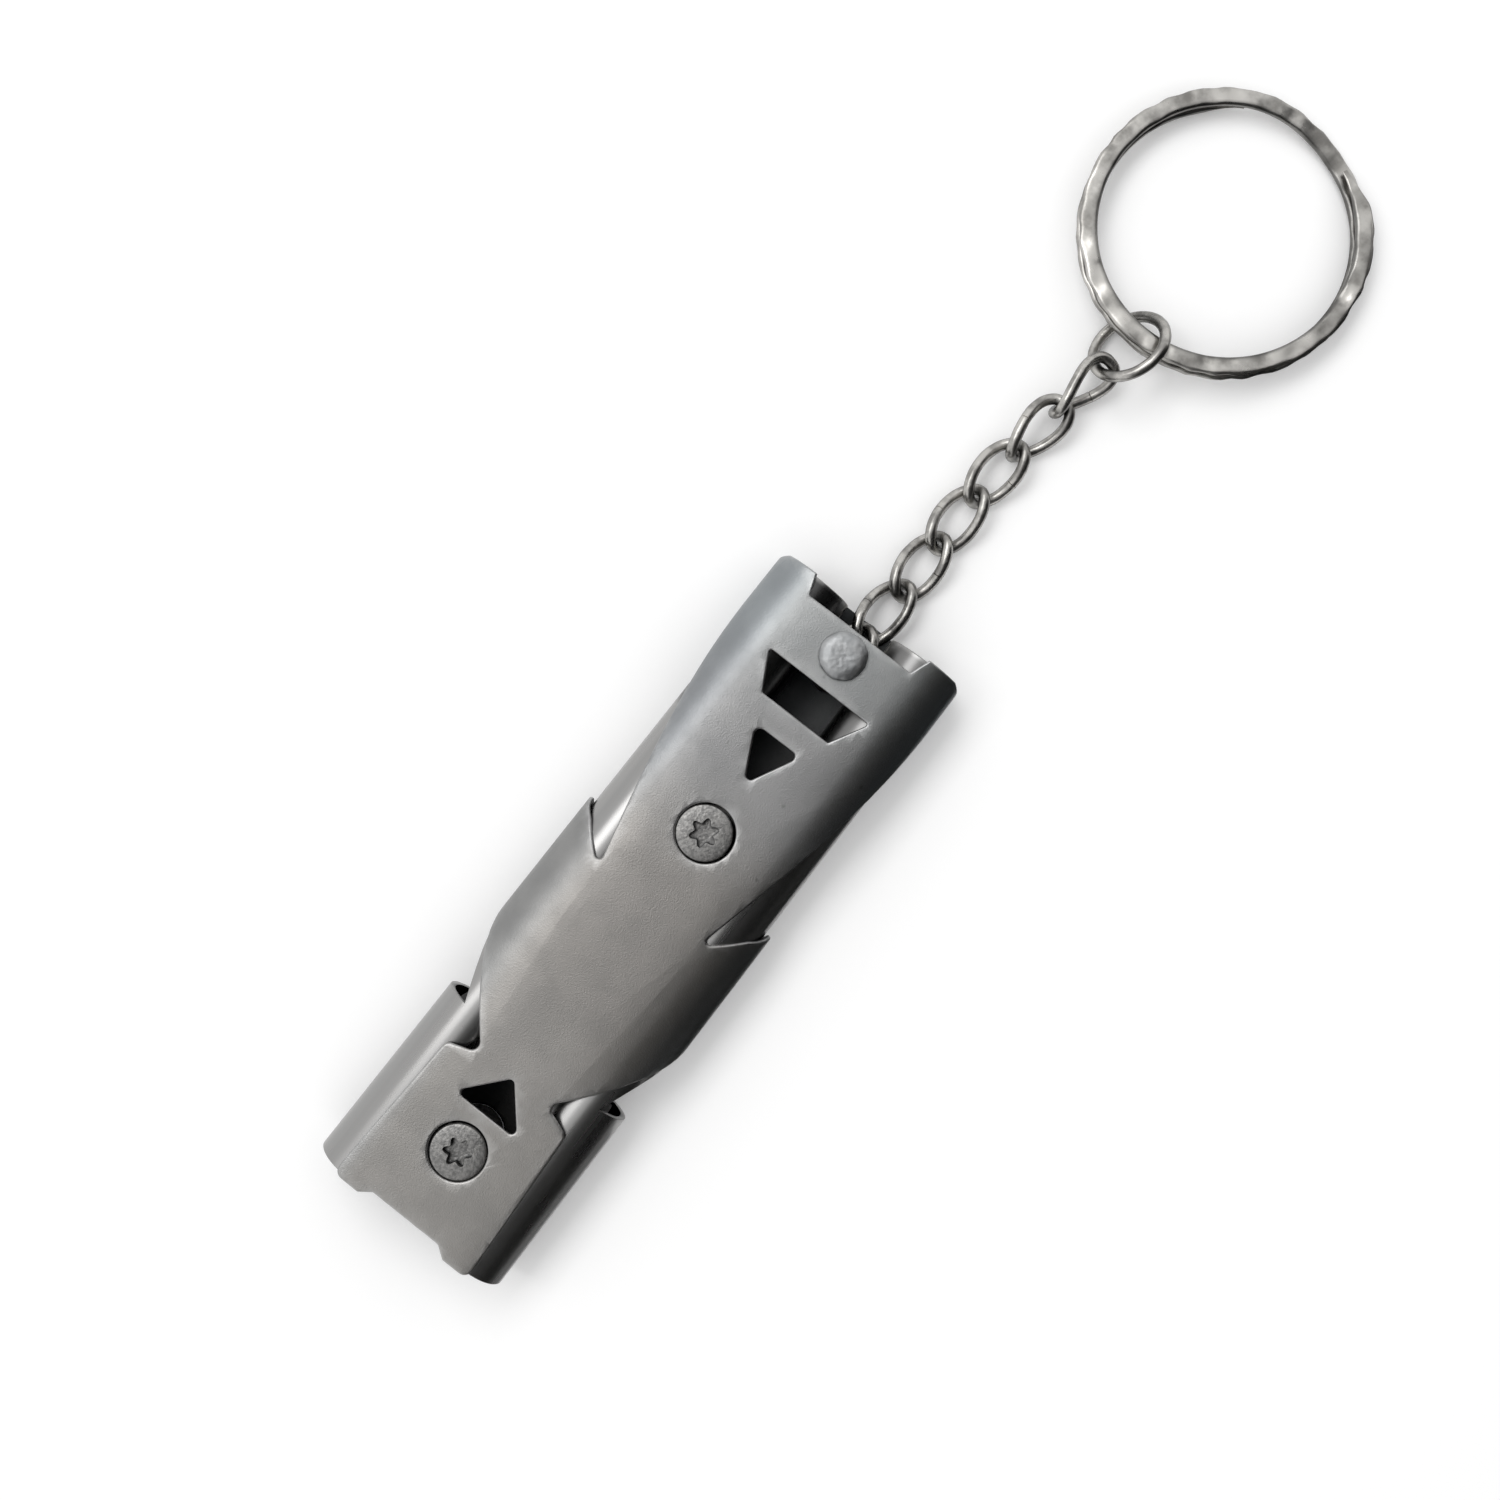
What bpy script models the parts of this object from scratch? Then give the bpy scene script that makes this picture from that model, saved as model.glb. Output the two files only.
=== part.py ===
# Twin-tube pocket whistle with a curb chain and a hammered split ring.
# The whistle lies on its back plate: X across, Y from the mouth end to the chain, Z up.

import math

import bmesh
import bpy
from mathutils import Matrix, Vector

# Sizes of the whistle body, in millimetres. S is measured from the mouth end.
MM = 0.001
BODY_LENGTH = 65.0
ORIGIN_S = 30.0            # the origin lies in the middle sleeve, on the back plate
PIPE_OD = 6.65
PIPE_WALL = 0.5
PIPE_SPACING = 11.4        # between the pipe axes at the chain end
PIPE_SPLAY = 0.65          # degrees that each pipe leans outwards to the mouth end
PIPE_INSET = 0.2           # pipe ends behind the sheet's ends
SHEET = 0.45               # thickness of the folded sheet
SHEET_FIT = 0.2            # clearance between the sheet and the pipes
BEND_STEPS = 12            # facets of each half-round side

# Cuts in the sheet: half-widths along the sheet, and S along the whistle.
NOTCH_TIP = (5.4, 34.2, 0.35)      # width, S and corner radius of the upper notch's tip
NOTCH_TOP_S = 60.0
NOTCH_KNEE = (9.1, 36.9, 3.0)      # where the notch's foot starts to level out
NOTCH_FOOT_S = 38.2
WAIST = (3.6, 15.7, 0.65)
SLEEVE_FOOT_S = 26.0
SHOULDER = (6.5, 14.65, 0.8)
TONGUE_FOOT = (7.3, 0.0, 0.85)
FOOT_RECESS = (3.5, 4.6, 0.8)      # inner and outer half-width, depth
MOUTH_CUT = (6.0, 5.3, 1.85)       # front plate at the chain end: half-widths and depth
CORNER_DIP = (2.3, 0.6)            # half-width and depth of the rounded corners there
SLOT = (5.25, 57.6, 3.45, 54.3)    # the long window: half-width and S, top and foot
TRIANGLE_DOWN = (2.35, 51.9, 47.3)  # half-width, S of the base, S of the point
TRIANGLE_UP = (3.3, 11.9, 15.75)
WINDOW_RADIUS = 0.4

# Whistle windows, plugs and stoppers in the pipes.
WINDOW_S = 18.0
WINDOW_DEPTH = 2.3
WINDOW_LENGTH = 5.4
PLUG_FIT = 0.12
WINDWAY = 1.0
PLUG_INSET = 0.4
STOPPER_LENGTH = 2.0
STOPPER_DEPTHS = (2.6, 9.5)        # left and right, so that the pipes sound two notes

# Screws, spacers and the rivet.
SCREW_S = (42.0, 8.0)
SCREW_HEAD = 4.9
SCREW_HEAD_HEIGHT = 1.45
SCREW_RIM = 0.35
SCREW_SHANK = 2.4
SCREW_SHANK_LENGTH = 1.9
SCREW_FIT = 0.12
DRIVE_OUTER = 1.15
DRIVE_INNER = 0.79
DRIVE_DEPTH = 0.75
SPACER_OD = 4.2
RIVET_S = 60.8
RIVET_HEAD = 4.25
RIVET_DOME = 0.8
RIVET_POST = 1.7
RIVET_FOOT = 3.0
RIVET_FIT = 0.12

# Chain and rings.
WIRE = 1.0
LINK_LENGTH = 7.4
LINK_WIDTH = 4.35
LINK_TWIST = 45.0          # degrees at each end of a curb link
LINK_GAP = 0.18
LINK_SQUARE = 2.5          # 2 is an ellipse, more is squarer
JUMP_RING_OD = 7.5
FIRST_LINK_S = 61.25
CHAIN_YAW = (4.0, 2.5, -1.2, 0.3, 4.2, 8.6, 10.6, 10.4)     # degrees to the right
CHAIN_ROLL = (0.0, 0.0, 0.0, 0.0, -8.0, -32.0, -60.0, 42.0)  # right side up
CHAIN_HEIGHT = (2.05, 1.95, 1.40, 1.32, 1.40, 1.72, 2.10, 2.50, 2.90)
SPLIT_RING_OD = 25.8
SPLIT_RING_BAND = 1.65
SPLIT_RING_LEAF = 0.72     # thickness of one turn
SPLIT_RING_GAP = 0.45      # between the two turns
SPLIT_RING_STEP = 26.0     # degrees on each side of the crossing
SPLIT_RING_DENTS = 22
SPLIT_RING_DENT = 0.14
RING_YAW = 2.0
RING_CLEARANCE = 0.85      # from the jump ring's inside to the band
FLOOR_GAP = 0.02

STEEL_SATIN = ("satin_steel", (0.36, 0.36, 0.36), 0.42)
STEEL_BRIGHT = ("bright_steel", (0.55, 0.54, 0.52), 0.25)
STEEL_SCREW = ("screw_steel", (0.40, 0.40, 0.41), 0.36)
STEEL_DARK = ("dark_steel", (0.16, 0.16, 0.17), 0.45)
NICKEL = ("nickel_plate", (0.50, 0.49, 0.46), 0.22)

# Values that follow from the sizes above.
PIPE_R = PIPE_OD / 2
SIDE_R = PIPE_R + SHEET_FIT + SHEET
THICKNESS = 2 * SIDE_R
MID_Z = SIDE_R
SPLAY = math.radians(PIPE_SPLAY)
LINK_HALF = (LINK_LENGTH - WIRE) / 2
LINK_SIDE = (LINK_WIDTH - WIRE) / 2
JUMP_R = (JUMP_RING_OD - WIRE) / 2
CONTACT = (WIRE + LINK_GAP) / 2


def axis_x(s):
    """Distance of a pipe's axis from the middle at S."""
    return PIPE_SPACING / 2 + (BODY_LENGTH - s) * math.tan(SPLAY)


def material(name, colour, roughness):
    found = bpy.data.materials.get(name)
    if found:
        return found
    made = bpy.data.materials.new(name)
    made.use_nodes = True
    shader = made.node_tree.nodes["Principled BSDF"]
    shader.inputs["Base Color"].default_value = (*colour, 1.0)
    shader.inputs["Roughness"].default_value = roughness
    shader.inputs["Metallic"].default_value = 1.0
    made.diffuse_color = (*colour, 1.0)
    return made


def finish(name, bm, look, origin=(0.0, 0.0, 0.0), smooth_angle=35.0):
    """Turn a millimetre bmesh into an object in metres whose origin is at origin."""
    bmesh.ops.recalc_face_normals(bm, faces=bm.faces)
    if bm.calc_volume(signed=True) < 0:
        bmesh.ops.reverse_faces(bm, faces=bm.faces)
    bmesh.ops.translate(bm, verts=bm.verts, vec=-Vector(origin))
    bmesh.ops.scale(bm, verts=bm.verts, vec=(MM, MM, MM))
    mesh = bpy.data.meshes.new(name)
    bm.to_mesh(mesh)
    bm.free()
    mesh.materials.append(material(*look))
    mesh.shade_smooth()
    mesh.set_sharp_from_angle(angle=math.radians(smooth_angle))
    obj = bpy.data.objects.new(name, mesh)
    obj.location = Vector(origin) * MM
    bpy.context.collection.objects.link(obj)
    return obj


def carve(solid, cutters):
    """Cut every cutter out of the solid and return what is left."""
    blanks = []
    for index, bm in enumerate([solid] + cutters):
        bmesh.ops.recalc_face_normals(bm, faces=bm.faces)
        mesh = bpy.data.meshes.new("blank")
        bm.to_mesh(mesh)
        bm.free()
        obj = bpy.data.objects.new("blank", mesh)
        bpy.context.collection.objects.link(obj)
        blanks.append(obj)
        if index:
            cut = blanks[0].modifiers.new("cut", "BOOLEAN")
            cut.operation = "DIFFERENCE"
            cut.solver = "EXACT"
            cut.object = obj
    graph = bpy.context.evaluated_depsgraph_get()
    result = bpy.data.meshes.new_from_object(blanks[0].evaluated_get(graph))
    bm = bmesh.new()
    bm.from_mesh(result)
    bpy.data.meshes.remove(result)
    for obj in blanks:
        mesh = obj.data
        bpy.data.objects.remove(obj)
        bpy.data.meshes.remove(mesh)
    bmesh.ops.remove_doubles(bm, verts=bm.verts, dist=1e-4)
    return bm


def revolve(profile, steps, place=Matrix.Identity(4)):
    """Spin a closed profile of (radius, height) about Z, then place it."""
    bm = bmesh.new()
    points = [bm.verts.new((r, 0.0, h)) for r, h in profile]
    closed = min(r for r, h in profile) > 0
    pairs = list(zip(points, points[1:] + points[:1])) if closed else list(zip(points, points[1:]))
    edges = [bm.edges.new(pair) for pair in pairs]
    bmesh.ops.spin(bm, geom=points + edges, cent=(0, 0, 0), axis=(0, 0, 1),
                   angle=2 * math.pi, steps=steps, use_merge=True)
    bmesh.ops.remove_doubles(bm, verts=bm.verts, dist=1e-4)
    bmesh.ops.transform(bm, matrix=place, verts=bm.verts)
    return bm


def prism(outline, low, high):
    """A flat outline in X and Y made solid between two heights."""
    bm = bmesh.new()
    face = bm.faces.new([bm.verts.new((x, y, low)) for x, y in outline])
    made = bmesh.ops.extrude_face_region(bm, geom=[face])
    top = [v for v in made["geom"] if isinstance(v, bmesh.types.BMVert)]
    bmesh.ops.translate(bm, verts=top, vec=(0, 0, high - low))
    bmesh.ops.recalc_face_normals(bm, faces=bm.faces)
    return bm


def loft(rings, loop):
    """Join equal rings of points into one closed skin; loop joins the last to the first."""
    bm = bmesh.new()
    rows = [[bm.verts.new(p) for p in ring] for ring in rings]
    spans = list(zip(rows, rows[1:] + rows[:1])) if loop else list(zip(rows, rows[1:]))
    for low, high in spans:
        for i in range(len(low)):
            j = (i + 1) % len(low)
            bm.faces.new((low[i], low[j], high[j], high[i]))
    if not loop:
        bm.faces.new(rows[0])
        bm.faces.new(list(reversed(rows[-1])))
    return bm


def rounded(corners, steps=4):
    """Replace each (x, y, radius) corner by an arc; a zero radius stays sharp."""
    outline = []
    for i, (x, y, radius) in enumerate(corners):
        here = Vector((x, y))
        if radius <= 0:
            outline.append((x, y))
            continue
        before = (Vector(corners[i - 1][:2]) - here).normalized()
        after = (Vector(corners[(i + 1) % len(corners)][:2]) - here).normalized()
        half = before.angle(after) / 2
        middle = here + (before + after).normalized() * (radius / math.sin(half))
        start = here + before * (radius / math.tan(half)) - middle
        turn = start.angle_signed(here + after * (radius / math.tan(half)) - middle)
        for step in range(steps + 1):
            spoke = Matrix.Rotation(-turn * step / steps, 2) @ start
            outline.append(tuple(middle + spoke))
    return outline


# The sheet is cut flat, then folded round the pipes.
FLAT_HALF = axis_x(0.0)                       # half-width of the front plate in the pattern
SIDE_LINE = FLAT_HALF + math.pi * SIDE_R / 2   # middle of the half-round side
BACK_LINE = 2 * SIDE_LINE                     # middle of the back plate


def across(width, s):
    """Pattern position of a point that lies so far from the middle along the sheet."""
    flat = axis_x(s)
    if abs(width) <= flat:
        return width * FLAT_HALF / flat
    return math.copysign(FLAT_HALF + abs(width) - flat, width)


def pattern_corner(width, s, radius):
    return (across(width, s), s, radius)


def mirrored(front):
    """Add the back plate's half of a side cut, mirrored in the middle of the side."""
    return front + [(2 * SIDE_LINE - x, y, r) for x, y, r in reversed(front) if x < SIDE_LINE]


def side_cuts():
    """The cut-outs of the right side, in the flat pattern."""
    beyond = -2.0
    upper = mirrored([
        (SIDE_LINE, NOTCH_TOP_S, 0.3),
        pattern_corner(*NOTCH_TIP),
        pattern_corner(*NOTCH_KNEE),
        (SIDE_LINE, NOTCH_FOOT_S, 0.6),
    ])
    lower = mirrored([
        (SIDE_LINE, SLEEVE_FOOT_S, 0.3),
        pattern_corner(*WAIST),
        pattern_corner(*SHOULDER),
        pattern_corner(*TONGUE_FOOT),
        (across(FOOT_RECESS[1], 0.0), 0.0, 0.0),
        (across(FOOT_RECESS[1], 0.0), beyond, 0.0),
    ])
    dip = [
        (SIDE_LINE - CORNER_DIP[0], BODY_LENGTH + 0.001, 0.0),
        (SIDE_LINE, BODY_LENGTH - CORNER_DIP[1], 2.5),
        (SIDE_LINE + CORNER_DIP[0], BODY_LENGTH + 0.001, 0.0),
        (SIDE_LINE, BODY_LENGTH + 2.0, 0.0),
    ]
    return [upper, lower, dip]


def foot_recess(middle):
    """The shallow recess between the two lobes of a plate's mouth end."""
    inner, outer, depth = FOOT_RECESS
    return [
        (middle - across(outer, 0.0), 0.0, 0.4), (middle - across(inner, 0.0), depth, 0.4),
        (middle + across(inner, 0.0), depth, 0.4), (middle + across(outer, 0.0), 0.0, 0.4),
        (middle + across(outer, 0.0), -2.0, 0.0), (middle - across(outer, 0.0), -2.0, 0.0),
    ]


def front_cuts():
    """The decorative windows and the cut above the rivet, only in the front plate."""
    wide, deep, depth = MOUTH_CUT
    foot = BODY_LENGTH - depth
    cuts = [[
        pattern_corner(-wide, BODY_LENGTH, 0.0), pattern_corner(-deep, foot, 0.25),
        pattern_corner(deep, foot, 0.25), pattern_corner(wide, BODY_LENGTH, 0.0),
        pattern_corner(wide, BODY_LENGTH + 2.0, 0.0), pattern_corner(-wide, BODY_LENGTH + 2.0, 0.0),
    ]]
    top, top_s, low, low_s = SLOT
    cuts.append([
        pattern_corner(-top, top_s, 0.2), pattern_corner(-low, low_s, 0.2),
        pattern_corner(low, low_s, 0.2), pattern_corner(top, top_s, 0.2),
    ])
    for half, base, point in (TRIANGLE_DOWN, TRIANGLE_UP):
        cuts.append([
            pattern_corner(-half, base, WINDOW_RADIUS), pattern_corner(0.0, point, WINDOW_RADIUS),
            pattern_corner(half, base, WINDOW_RADIUS),
        ])
    return cuts


def hole(middle, s, diameter, steps=32):
    scale = FLAT_HALF / axis_x(s)
    return [
        (middle + diameter / 2 * scale * math.cos(a), s + diameter / 2 * math.sin(a))
        for a in (2 * math.pi * i / steps for i in range(steps))
    ]


def fold(point):
    """Fold one point of the flat pattern round the pipes."""
    side = math.copysign(1.0, point.x)
    run = abs(point.x)
    s = point.y
    radius = SIDE_R + point.z
    flat = axis_x(s)
    step = math.pi * SIDE_R / BEND_STEPS
    if run <= FLAT_HALF:
        x, z = run * flat / FLAT_HALF, radius
    elif run >= FLAT_HALF + math.pi * SIDE_R:
        x, z = (BACK_LINE - run) * flat / FLAT_HALF, -radius
    else:
        index = min(int((run - FLAT_HALF) / step + 1e-6), BEND_STEPS - 1)
        share = (run - FLAT_HALF) / step - index
        low, high = (math.pi * (index + k) / BEND_STEPS for k in (0, 1))
        x = flat + radius * ((1 - share) * math.sin(low) + share * math.sin(high))
        z = radius * ((1 - share) * math.cos(low) + share * math.cos(high))
    return Vector((side * x, s - ORIGIN_S, MID_Z + z))


def build_shell():
    low, high = -SHEET - 1.0, 1.0
    blank = prism([(-BACK_LINE, 0.0), (BACK_LINE, 0.0), (BACK_LINE, BODY_LENGTH),
                   (-BACK_LINE, BODY_LENGTH)], -SHEET, 0.0)
    outlines = [rounded(c) for c in front_cuts() + [foot_recess(0.0)]]
    for corners in side_cuts():
        outlines.append(rounded(corners))
        outlines.append([(-x, y) for x, y in reversed(outlines[-1])])
    for seam in (-BACK_LINE, BACK_LINE):
        outlines.append(rounded(foot_recess(seam)))
    for s in SCREW_S:
        outlines += [hole(m, s, SCREW_HEAD + 2 * SCREW_FIT) for m in (0.0, -BACK_LINE, BACK_LINE)]
    outlines.append(hole(0.0, RIVET_S, RIVET_POST + 2 * RIVET_FIT, 20))
    outlines += [hole(m, RIVET_S, RIVET_FOOT + 2 * RIVET_FIT, 24) for m in (-BACK_LINE, BACK_LINE)]
    bm = carve(blank, [prism(outline, low, high) for outline in outlines])

    # Bend lines, so that every facet of the folded side is flat.
    step = math.pi * SIDE_R / BEND_STEPS
    for side in (-1, 1):
        for k in range(BEND_STEPS + 1):
            bmesh.ops.bisect_plane(bm, geom=bm.verts[:] + bm.edges[:] + bm.faces[:], dist=1e-5,
                                   plane_co=(side * (FLAT_HALF + k * step), 0, 0), plane_no=(1, 0, 0))
    seam = [f for f in bm.faces if all(abs(abs(v.co.x) - BACK_LINE) < 1e-4 for v in f.verts)]
    bmesh.ops.delete(bm, geom=seam, context="FACES")
    bmesh.ops.triangulate(bm, faces=bm.faces)
    for v in bm.verts:
        v.co = fold(v.co)
    bmesh.ops.remove_doubles(bm, verts=bm.verts, dist=1e-3)
    bmesh.ops.dissolve_limit(bm, angle_limit=math.radians(0.05), verts=bm.verts, edges=bm.edges)
    return finish("shell", bm, STEEL_SATIN, smooth_angle=25.0)


def pipe_place(side):
    """Matrix from a pipe's own frame, Z along its bore from the mouth end and X outwards."""
    lean = Matrix.Rotation(side * SPLAY, 4, "Z")
    stand = Matrix.Rotation(math.radians(-90), 4, "X")
    turn = Matrix.Rotation(math.radians(180 if side < 0 else 0), 4, "Z")
    start = Matrix.Translation((side * axis_x(0.0), -ORIGIN_S, MID_Z))
    return start @ lean @ stand @ turn


def build_pipe(name, side):
    bore = PIPE_R - PIPE_WALL
    low, high = PIPE_INSET, BODY_LENGTH - PIPE_INSET
    tube = revolve([(bore, low), (PIPE_R, low), (PIPE_R, high), (bore, high)], 40)
    floor = PIPE_R - WINDOW_DEPTH
    wedge = prism([(floor, WINDOW_S), (PIPE_R + 1.0, WINDOW_S),
                   (PIPE_R + 1.0, WINDOW_S + WINDOW_LENGTH * (1 + 1.0 / WINDOW_DEPTH))],
                  -PIPE_R - 1.0, PIPE_R + 1.0)
    bmesh.ops.transform(wedge, matrix=Matrix.Rotation(math.radians(90), 4, "X"), verts=wedge.verts)
    tube = carve(tube, [wedge])
    bmesh.ops.transform(tube, matrix=pipe_place(side), verts=tube.verts)
    return finish(name, tube, STEEL_BRIGHT)


def build_plug(name, side):
    radius = PIPE_R - PIPE_WALL - PLUG_FIT
    low, high = PIPE_INSET + PLUG_INSET, WINDOW_S - 0.2
    plug = revolve([(0, low), (radius, low), (radius, high), (0, high)], 32)
    flat = PIPE_R - PIPE_WALL - WINDWAY
    air = prism([(flat, low - 1), (PIPE_R, low - 1), (PIPE_R, high + 1), (flat, high + 1)],
                -PIPE_R, PIPE_R)
    bmesh.ops.transform(air, matrix=Matrix.Rotation(math.radians(90), 4, "X"), verts=air.verts)
    plug = carve(plug, [air])
    bmesh.ops.transform(plug, matrix=pipe_place(side), verts=plug.verts)
    return finish(name, plug, STEEL_DARK)


def build_stopper(name, side, depth):
    radius = PIPE_R - PIPE_WALL - PLUG_FIT
    high = BODY_LENGTH - PIPE_INSET - depth
    low = high - STOPPER_LENGTH
    disc = revolve([(0, low), (radius, low), (radius, high), (0, high)], 32, pipe_place(side))
    return finish(name, disc, STEEL_DARK)


def drive_socket(depth):
    """Six-lobed screwdriver recess, sunk from the head's face at height zero."""
    outline = []
    for i in range(24):
        angle = 2 * math.pi * i / 24
        radius = (DRIVE_OUTER + DRIVE_INNER) / 2 + (DRIVE_OUTER - DRIVE_INNER) / 2 * math.cos(6 * angle)
        outline.append((radius * math.cos(angle), radius * math.sin(angle)))
    return prism(outline, -depth, 1.0)


def build_screw(name, s, front):
    """A countersunk screw whose head lies just below the plate's outer face."""
    head, shank = SCREW_HEAD / 2, SCREW_SHANK / 2
    bevel = 0.12
    profile = [(0, 0), (head - bevel, 0), (head, -bevel), (head, -SCREW_RIM),
               (shank, -SCREW_HEAD_HEIGHT), (shank, -SCREW_HEAD_HEIGHT - SCREW_SHANK_LENGTH),
               (0, -SCREW_HEAD_HEIGHT - SCREW_SHANK_LENGTH)]
    screw = carve(revolve(profile, 32), [drive_socket(DRIVE_DEPTH)])
    turn = Matrix.Identity(4) if front else Matrix.Rotation(math.pi, 4, "Y")
    face = THICKNESS - FLOOR_GAP if front else FLOOR_GAP
    place = Matrix.Translation((0, s - ORIGIN_S, face)) @ turn
    bmesh.ops.transform(screw, matrix=place, verts=screw.verts)
    return finish(name, screw, STEEL_SCREW)


def build_spacer(name, s):
    """A threaded pillar between the pipes that both screws of a pair run into."""
    bore = SCREW_SHANK / 2 + SCREW_FIT
    half = THICKNESS / 2 - FLOOR_GAP - SCREW_HEAD_HEIGHT - SCREW_FIT
    edge = 0.2
    rim = SPACER_OD / 2
    profile = [(bore, -half), (rim - edge, -half), (rim, -half + edge), (rim, half - edge),
               (rim - edge, half), (bore, half)]
    place = Matrix.Translation((0, s - ORIGIN_S, MID_Z))
    return finish(name, revolve(profile, 32, place), STEEL_DARK)


def build_rivet():
    """The chain's post: a flush foot in the back plate and a peened dome on the front."""
    foot, post, head = RIVET_FOOT / 2, RIVET_POST / 2, RIVET_HEAD / 2
    seat = THICKNESS + RIVET_FIT
    profile = [(0, FLOOR_GAP), (foot, FLOOR_GAP), (foot, SHEET), (post, SHEET + foot - post),
               (post, seat), (head - 0.1, seat), (head, seat + 0.1)]
    arc = 5
    for i in range(1, arc + 1):
        angle = math.radians(90.0 * i / arc)
        profile.append((head * math.cos(angle) if i < arc else 0.0,
                        seat + 0.1 + RIVET_DOME * math.sin(angle)))
    place = Matrix.Translation((0, RIVET_S - ORIGIN_S, 0))
    return finish("rivet", revolve(profile, 28, place), STEEL_SCREW)


def turned(yaw, pitch, roll):
    """Rotation of a link: Y along its length, roll lifting its right side."""
    return (Matrix.Rotation(math.radians(-yaw), 3, "Z") @ Matrix.Rotation(math.radians(pitch), 3, "X")
            @ Matrix.Rotation(math.radians(-roll), 3, "Y"))


def chain_plan():
    """Ends, centre, rotation and half-length of each link, from the post to the split ring."""
    plan = []
    reach = [LINK_HALF - CONTACT] * (len(CHAIN_YAW) - 1) + [JUMP_R - CONTACT]
    start = None
    for k, (yaw, roll) in enumerate(zip(CHAIN_YAW, CHAIN_ROLL)):
        rise = CHAIN_HEIGHT[k + 1] - CHAIN_HEIGHT[k]
        pitch = math.degrees(math.asin(rise / (2 * reach[k])))
        turn = turned(yaw, pitch, roll)
        along = turn @ Vector((0, 1, 0))
        if start is None:
            middle = Vector((0.0, FIRST_LINK_S - ORIGIN_S, (CHAIN_HEIGHT[0] + CHAIN_HEIGHT[1]) / 2))
            start = middle - along * reach[k]
        end = start + along * 2 * reach[k]
        plan.append({"start": start, "end": end, "middle": start + along * reach[k],
                     "turn": turn, "along": along, "half": reach[k] + CONTACT})
        start = end
    return plan


def link_path(half, side, square, twist, steps):
    """Centre line of a link: points, and the normals of the twisted plane."""
    path = []
    for i in range(steps):
        angle = 2 * math.pi * i / steps
        reach = (abs(math.cos(angle) / side) ** square + abs(math.sin(angle) / half) ** square)
        radius = reach ** (-1 / square)
        v, u = radius * math.cos(angle), radius * math.sin(angle)
        lean = math.radians(twist) * u / half
        path.append((Vector((v * math.cos(lean), u, v * math.sin(lean))),
                     Vector((-math.sin(lean), 0, math.cos(lean)))))
    return path


def wire_loop(path, diameter, sides):
    rings = []
    for i, (point, normal) in enumerate(path):
        tangent = (path[(i + 1) % len(path)][0] - path[i - 1][0]).normalized()
        outward = tangent.cross(normal).normalized()
        upward = outward.cross(tangent).normalized()
        rings.append([point + diameter / 2 * (outward * math.cos(a) + upward * math.sin(a))
                      for a in (2 * math.pi * (k + 0.5) / sides for k in range(sides))])
    return loft(rings, loop=True)


def hinge_of(plan, k):
    """Point and axis of the hinge at a link's lower end."""
    if k == 0:
        return Vector((0.0, RIVET_S - ORIGIN_S, plan[0]["middle"].z)), Vector((0, 0, 1))
    twist = math.radians(LINK_TWIST)
    if k == len(plan) - 1:
        return plan[k]["start"] - plan[k]["along"] * CONTACT, plan[k]["turn"] @ Vector((1, 0, 0))
    if k % 2:
        parent = plan[k - 1]
        wire = Vector((math.cos(twist), 0, math.sin(twist)))
        return parent["end"] + parent["along"] * CONTACT, parent["turn"] @ wire
    own = plan[k]
    wire = Vector((math.cos(twist), 0, -math.sin(twist)))
    return own["start"] - own["along"] * CONTACT, own["turn"] @ wire


def build_link(k, plan):
    link = plan[k]
    last = k == len(plan) - 1
    if last:
        path = link_path(link["half"], link["half"], 2.0, 0.0, 36)
    else:
        path = link_path(link["half"], LINK_SIDE, LINK_SQUARE, LINK_TWIST, 32)
    bm = wire_loop(path, WIRE, 8)
    bmesh.ops.transform(bm, matrix=Matrix.Translation(link["middle"]) @ link["turn"].to_4x4(),
                        verts=bm.verts)
    name = "jump_ring" if last else f"chain_link_{k + 1}"
    return finish(name, bm, NICKEL, origin=hinge_of(plan, k)[0], smooth_angle=60.0)


def ring_frame(plan):
    """Centre and rotation of the split ring, resting on the jump ring and on the floor."""
    jump = plan[-1]
    radius = SPLIT_RING_OD / 2
    height = 2 * SPLIT_RING_LEAF + SPLIT_RING_GAP
    near = jump["middle"] + jump["along"] * (JUMP_R - WIRE / 2 - RING_CLEARANCE - SPLIT_RING_BAND)
    tilt = -math.asin((near.z - height / 2 - FLOOR_GAP) / SPLIT_RING_OD)
    turn = turned(RING_YAW, math.degrees(tilt), 0.0)
    return near + turn @ Vector((0, radius, 0)), turn


def split_ring_path(steps_per_turn=88):
    """Angle, height and dent of the band's sections, from one end to the other."""
    rise = SPLIT_RING_LEAF + SPLIT_RING_GAP
    first, last = SPLIT_RING_STEP, 720.0 - SPLIT_RING_STEP
    count = int((last - first) / 360.0 * steps_per_turn)
    path = []
    for i in range(count + 1):
        angle = first + (last - first) * i / count
        share = min(max((angle - 360.0 + SPLIT_RING_STEP) / (2 * SPLIT_RING_STEP), 0.0), 1.0)
        eased = share * share * (3 - 2 * share)
        dent = 0.5 - 0.5 * math.cos(math.radians(angle * SPLIT_RING_DENTS))
        path.append((math.radians(angle), rise * (eased - 0.5), dent))
    return path


def band_section(angle, height, dent):
    """Rounded rectangle of one turn, a little narrower where the hammer struck."""
    outer = SPLIT_RING_OD / 2 - SPLIT_RING_DENT * dent
    inner = SPLIT_RING_OD / 2 - SPLIT_RING_BAND
    half = SPLIT_RING_LEAF / 2
    soft = 0.24
    corners = [(outer, half - soft), (outer - soft, half), (inner + soft, half), (inner, half - soft),
               (inner, soft - half), (inner + soft, -half), (outer - soft, -half), (outer, soft - half)]
    return [Vector((r * math.cos(angle), r * math.sin(angle), height + z)) for r, z in corners]


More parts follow.
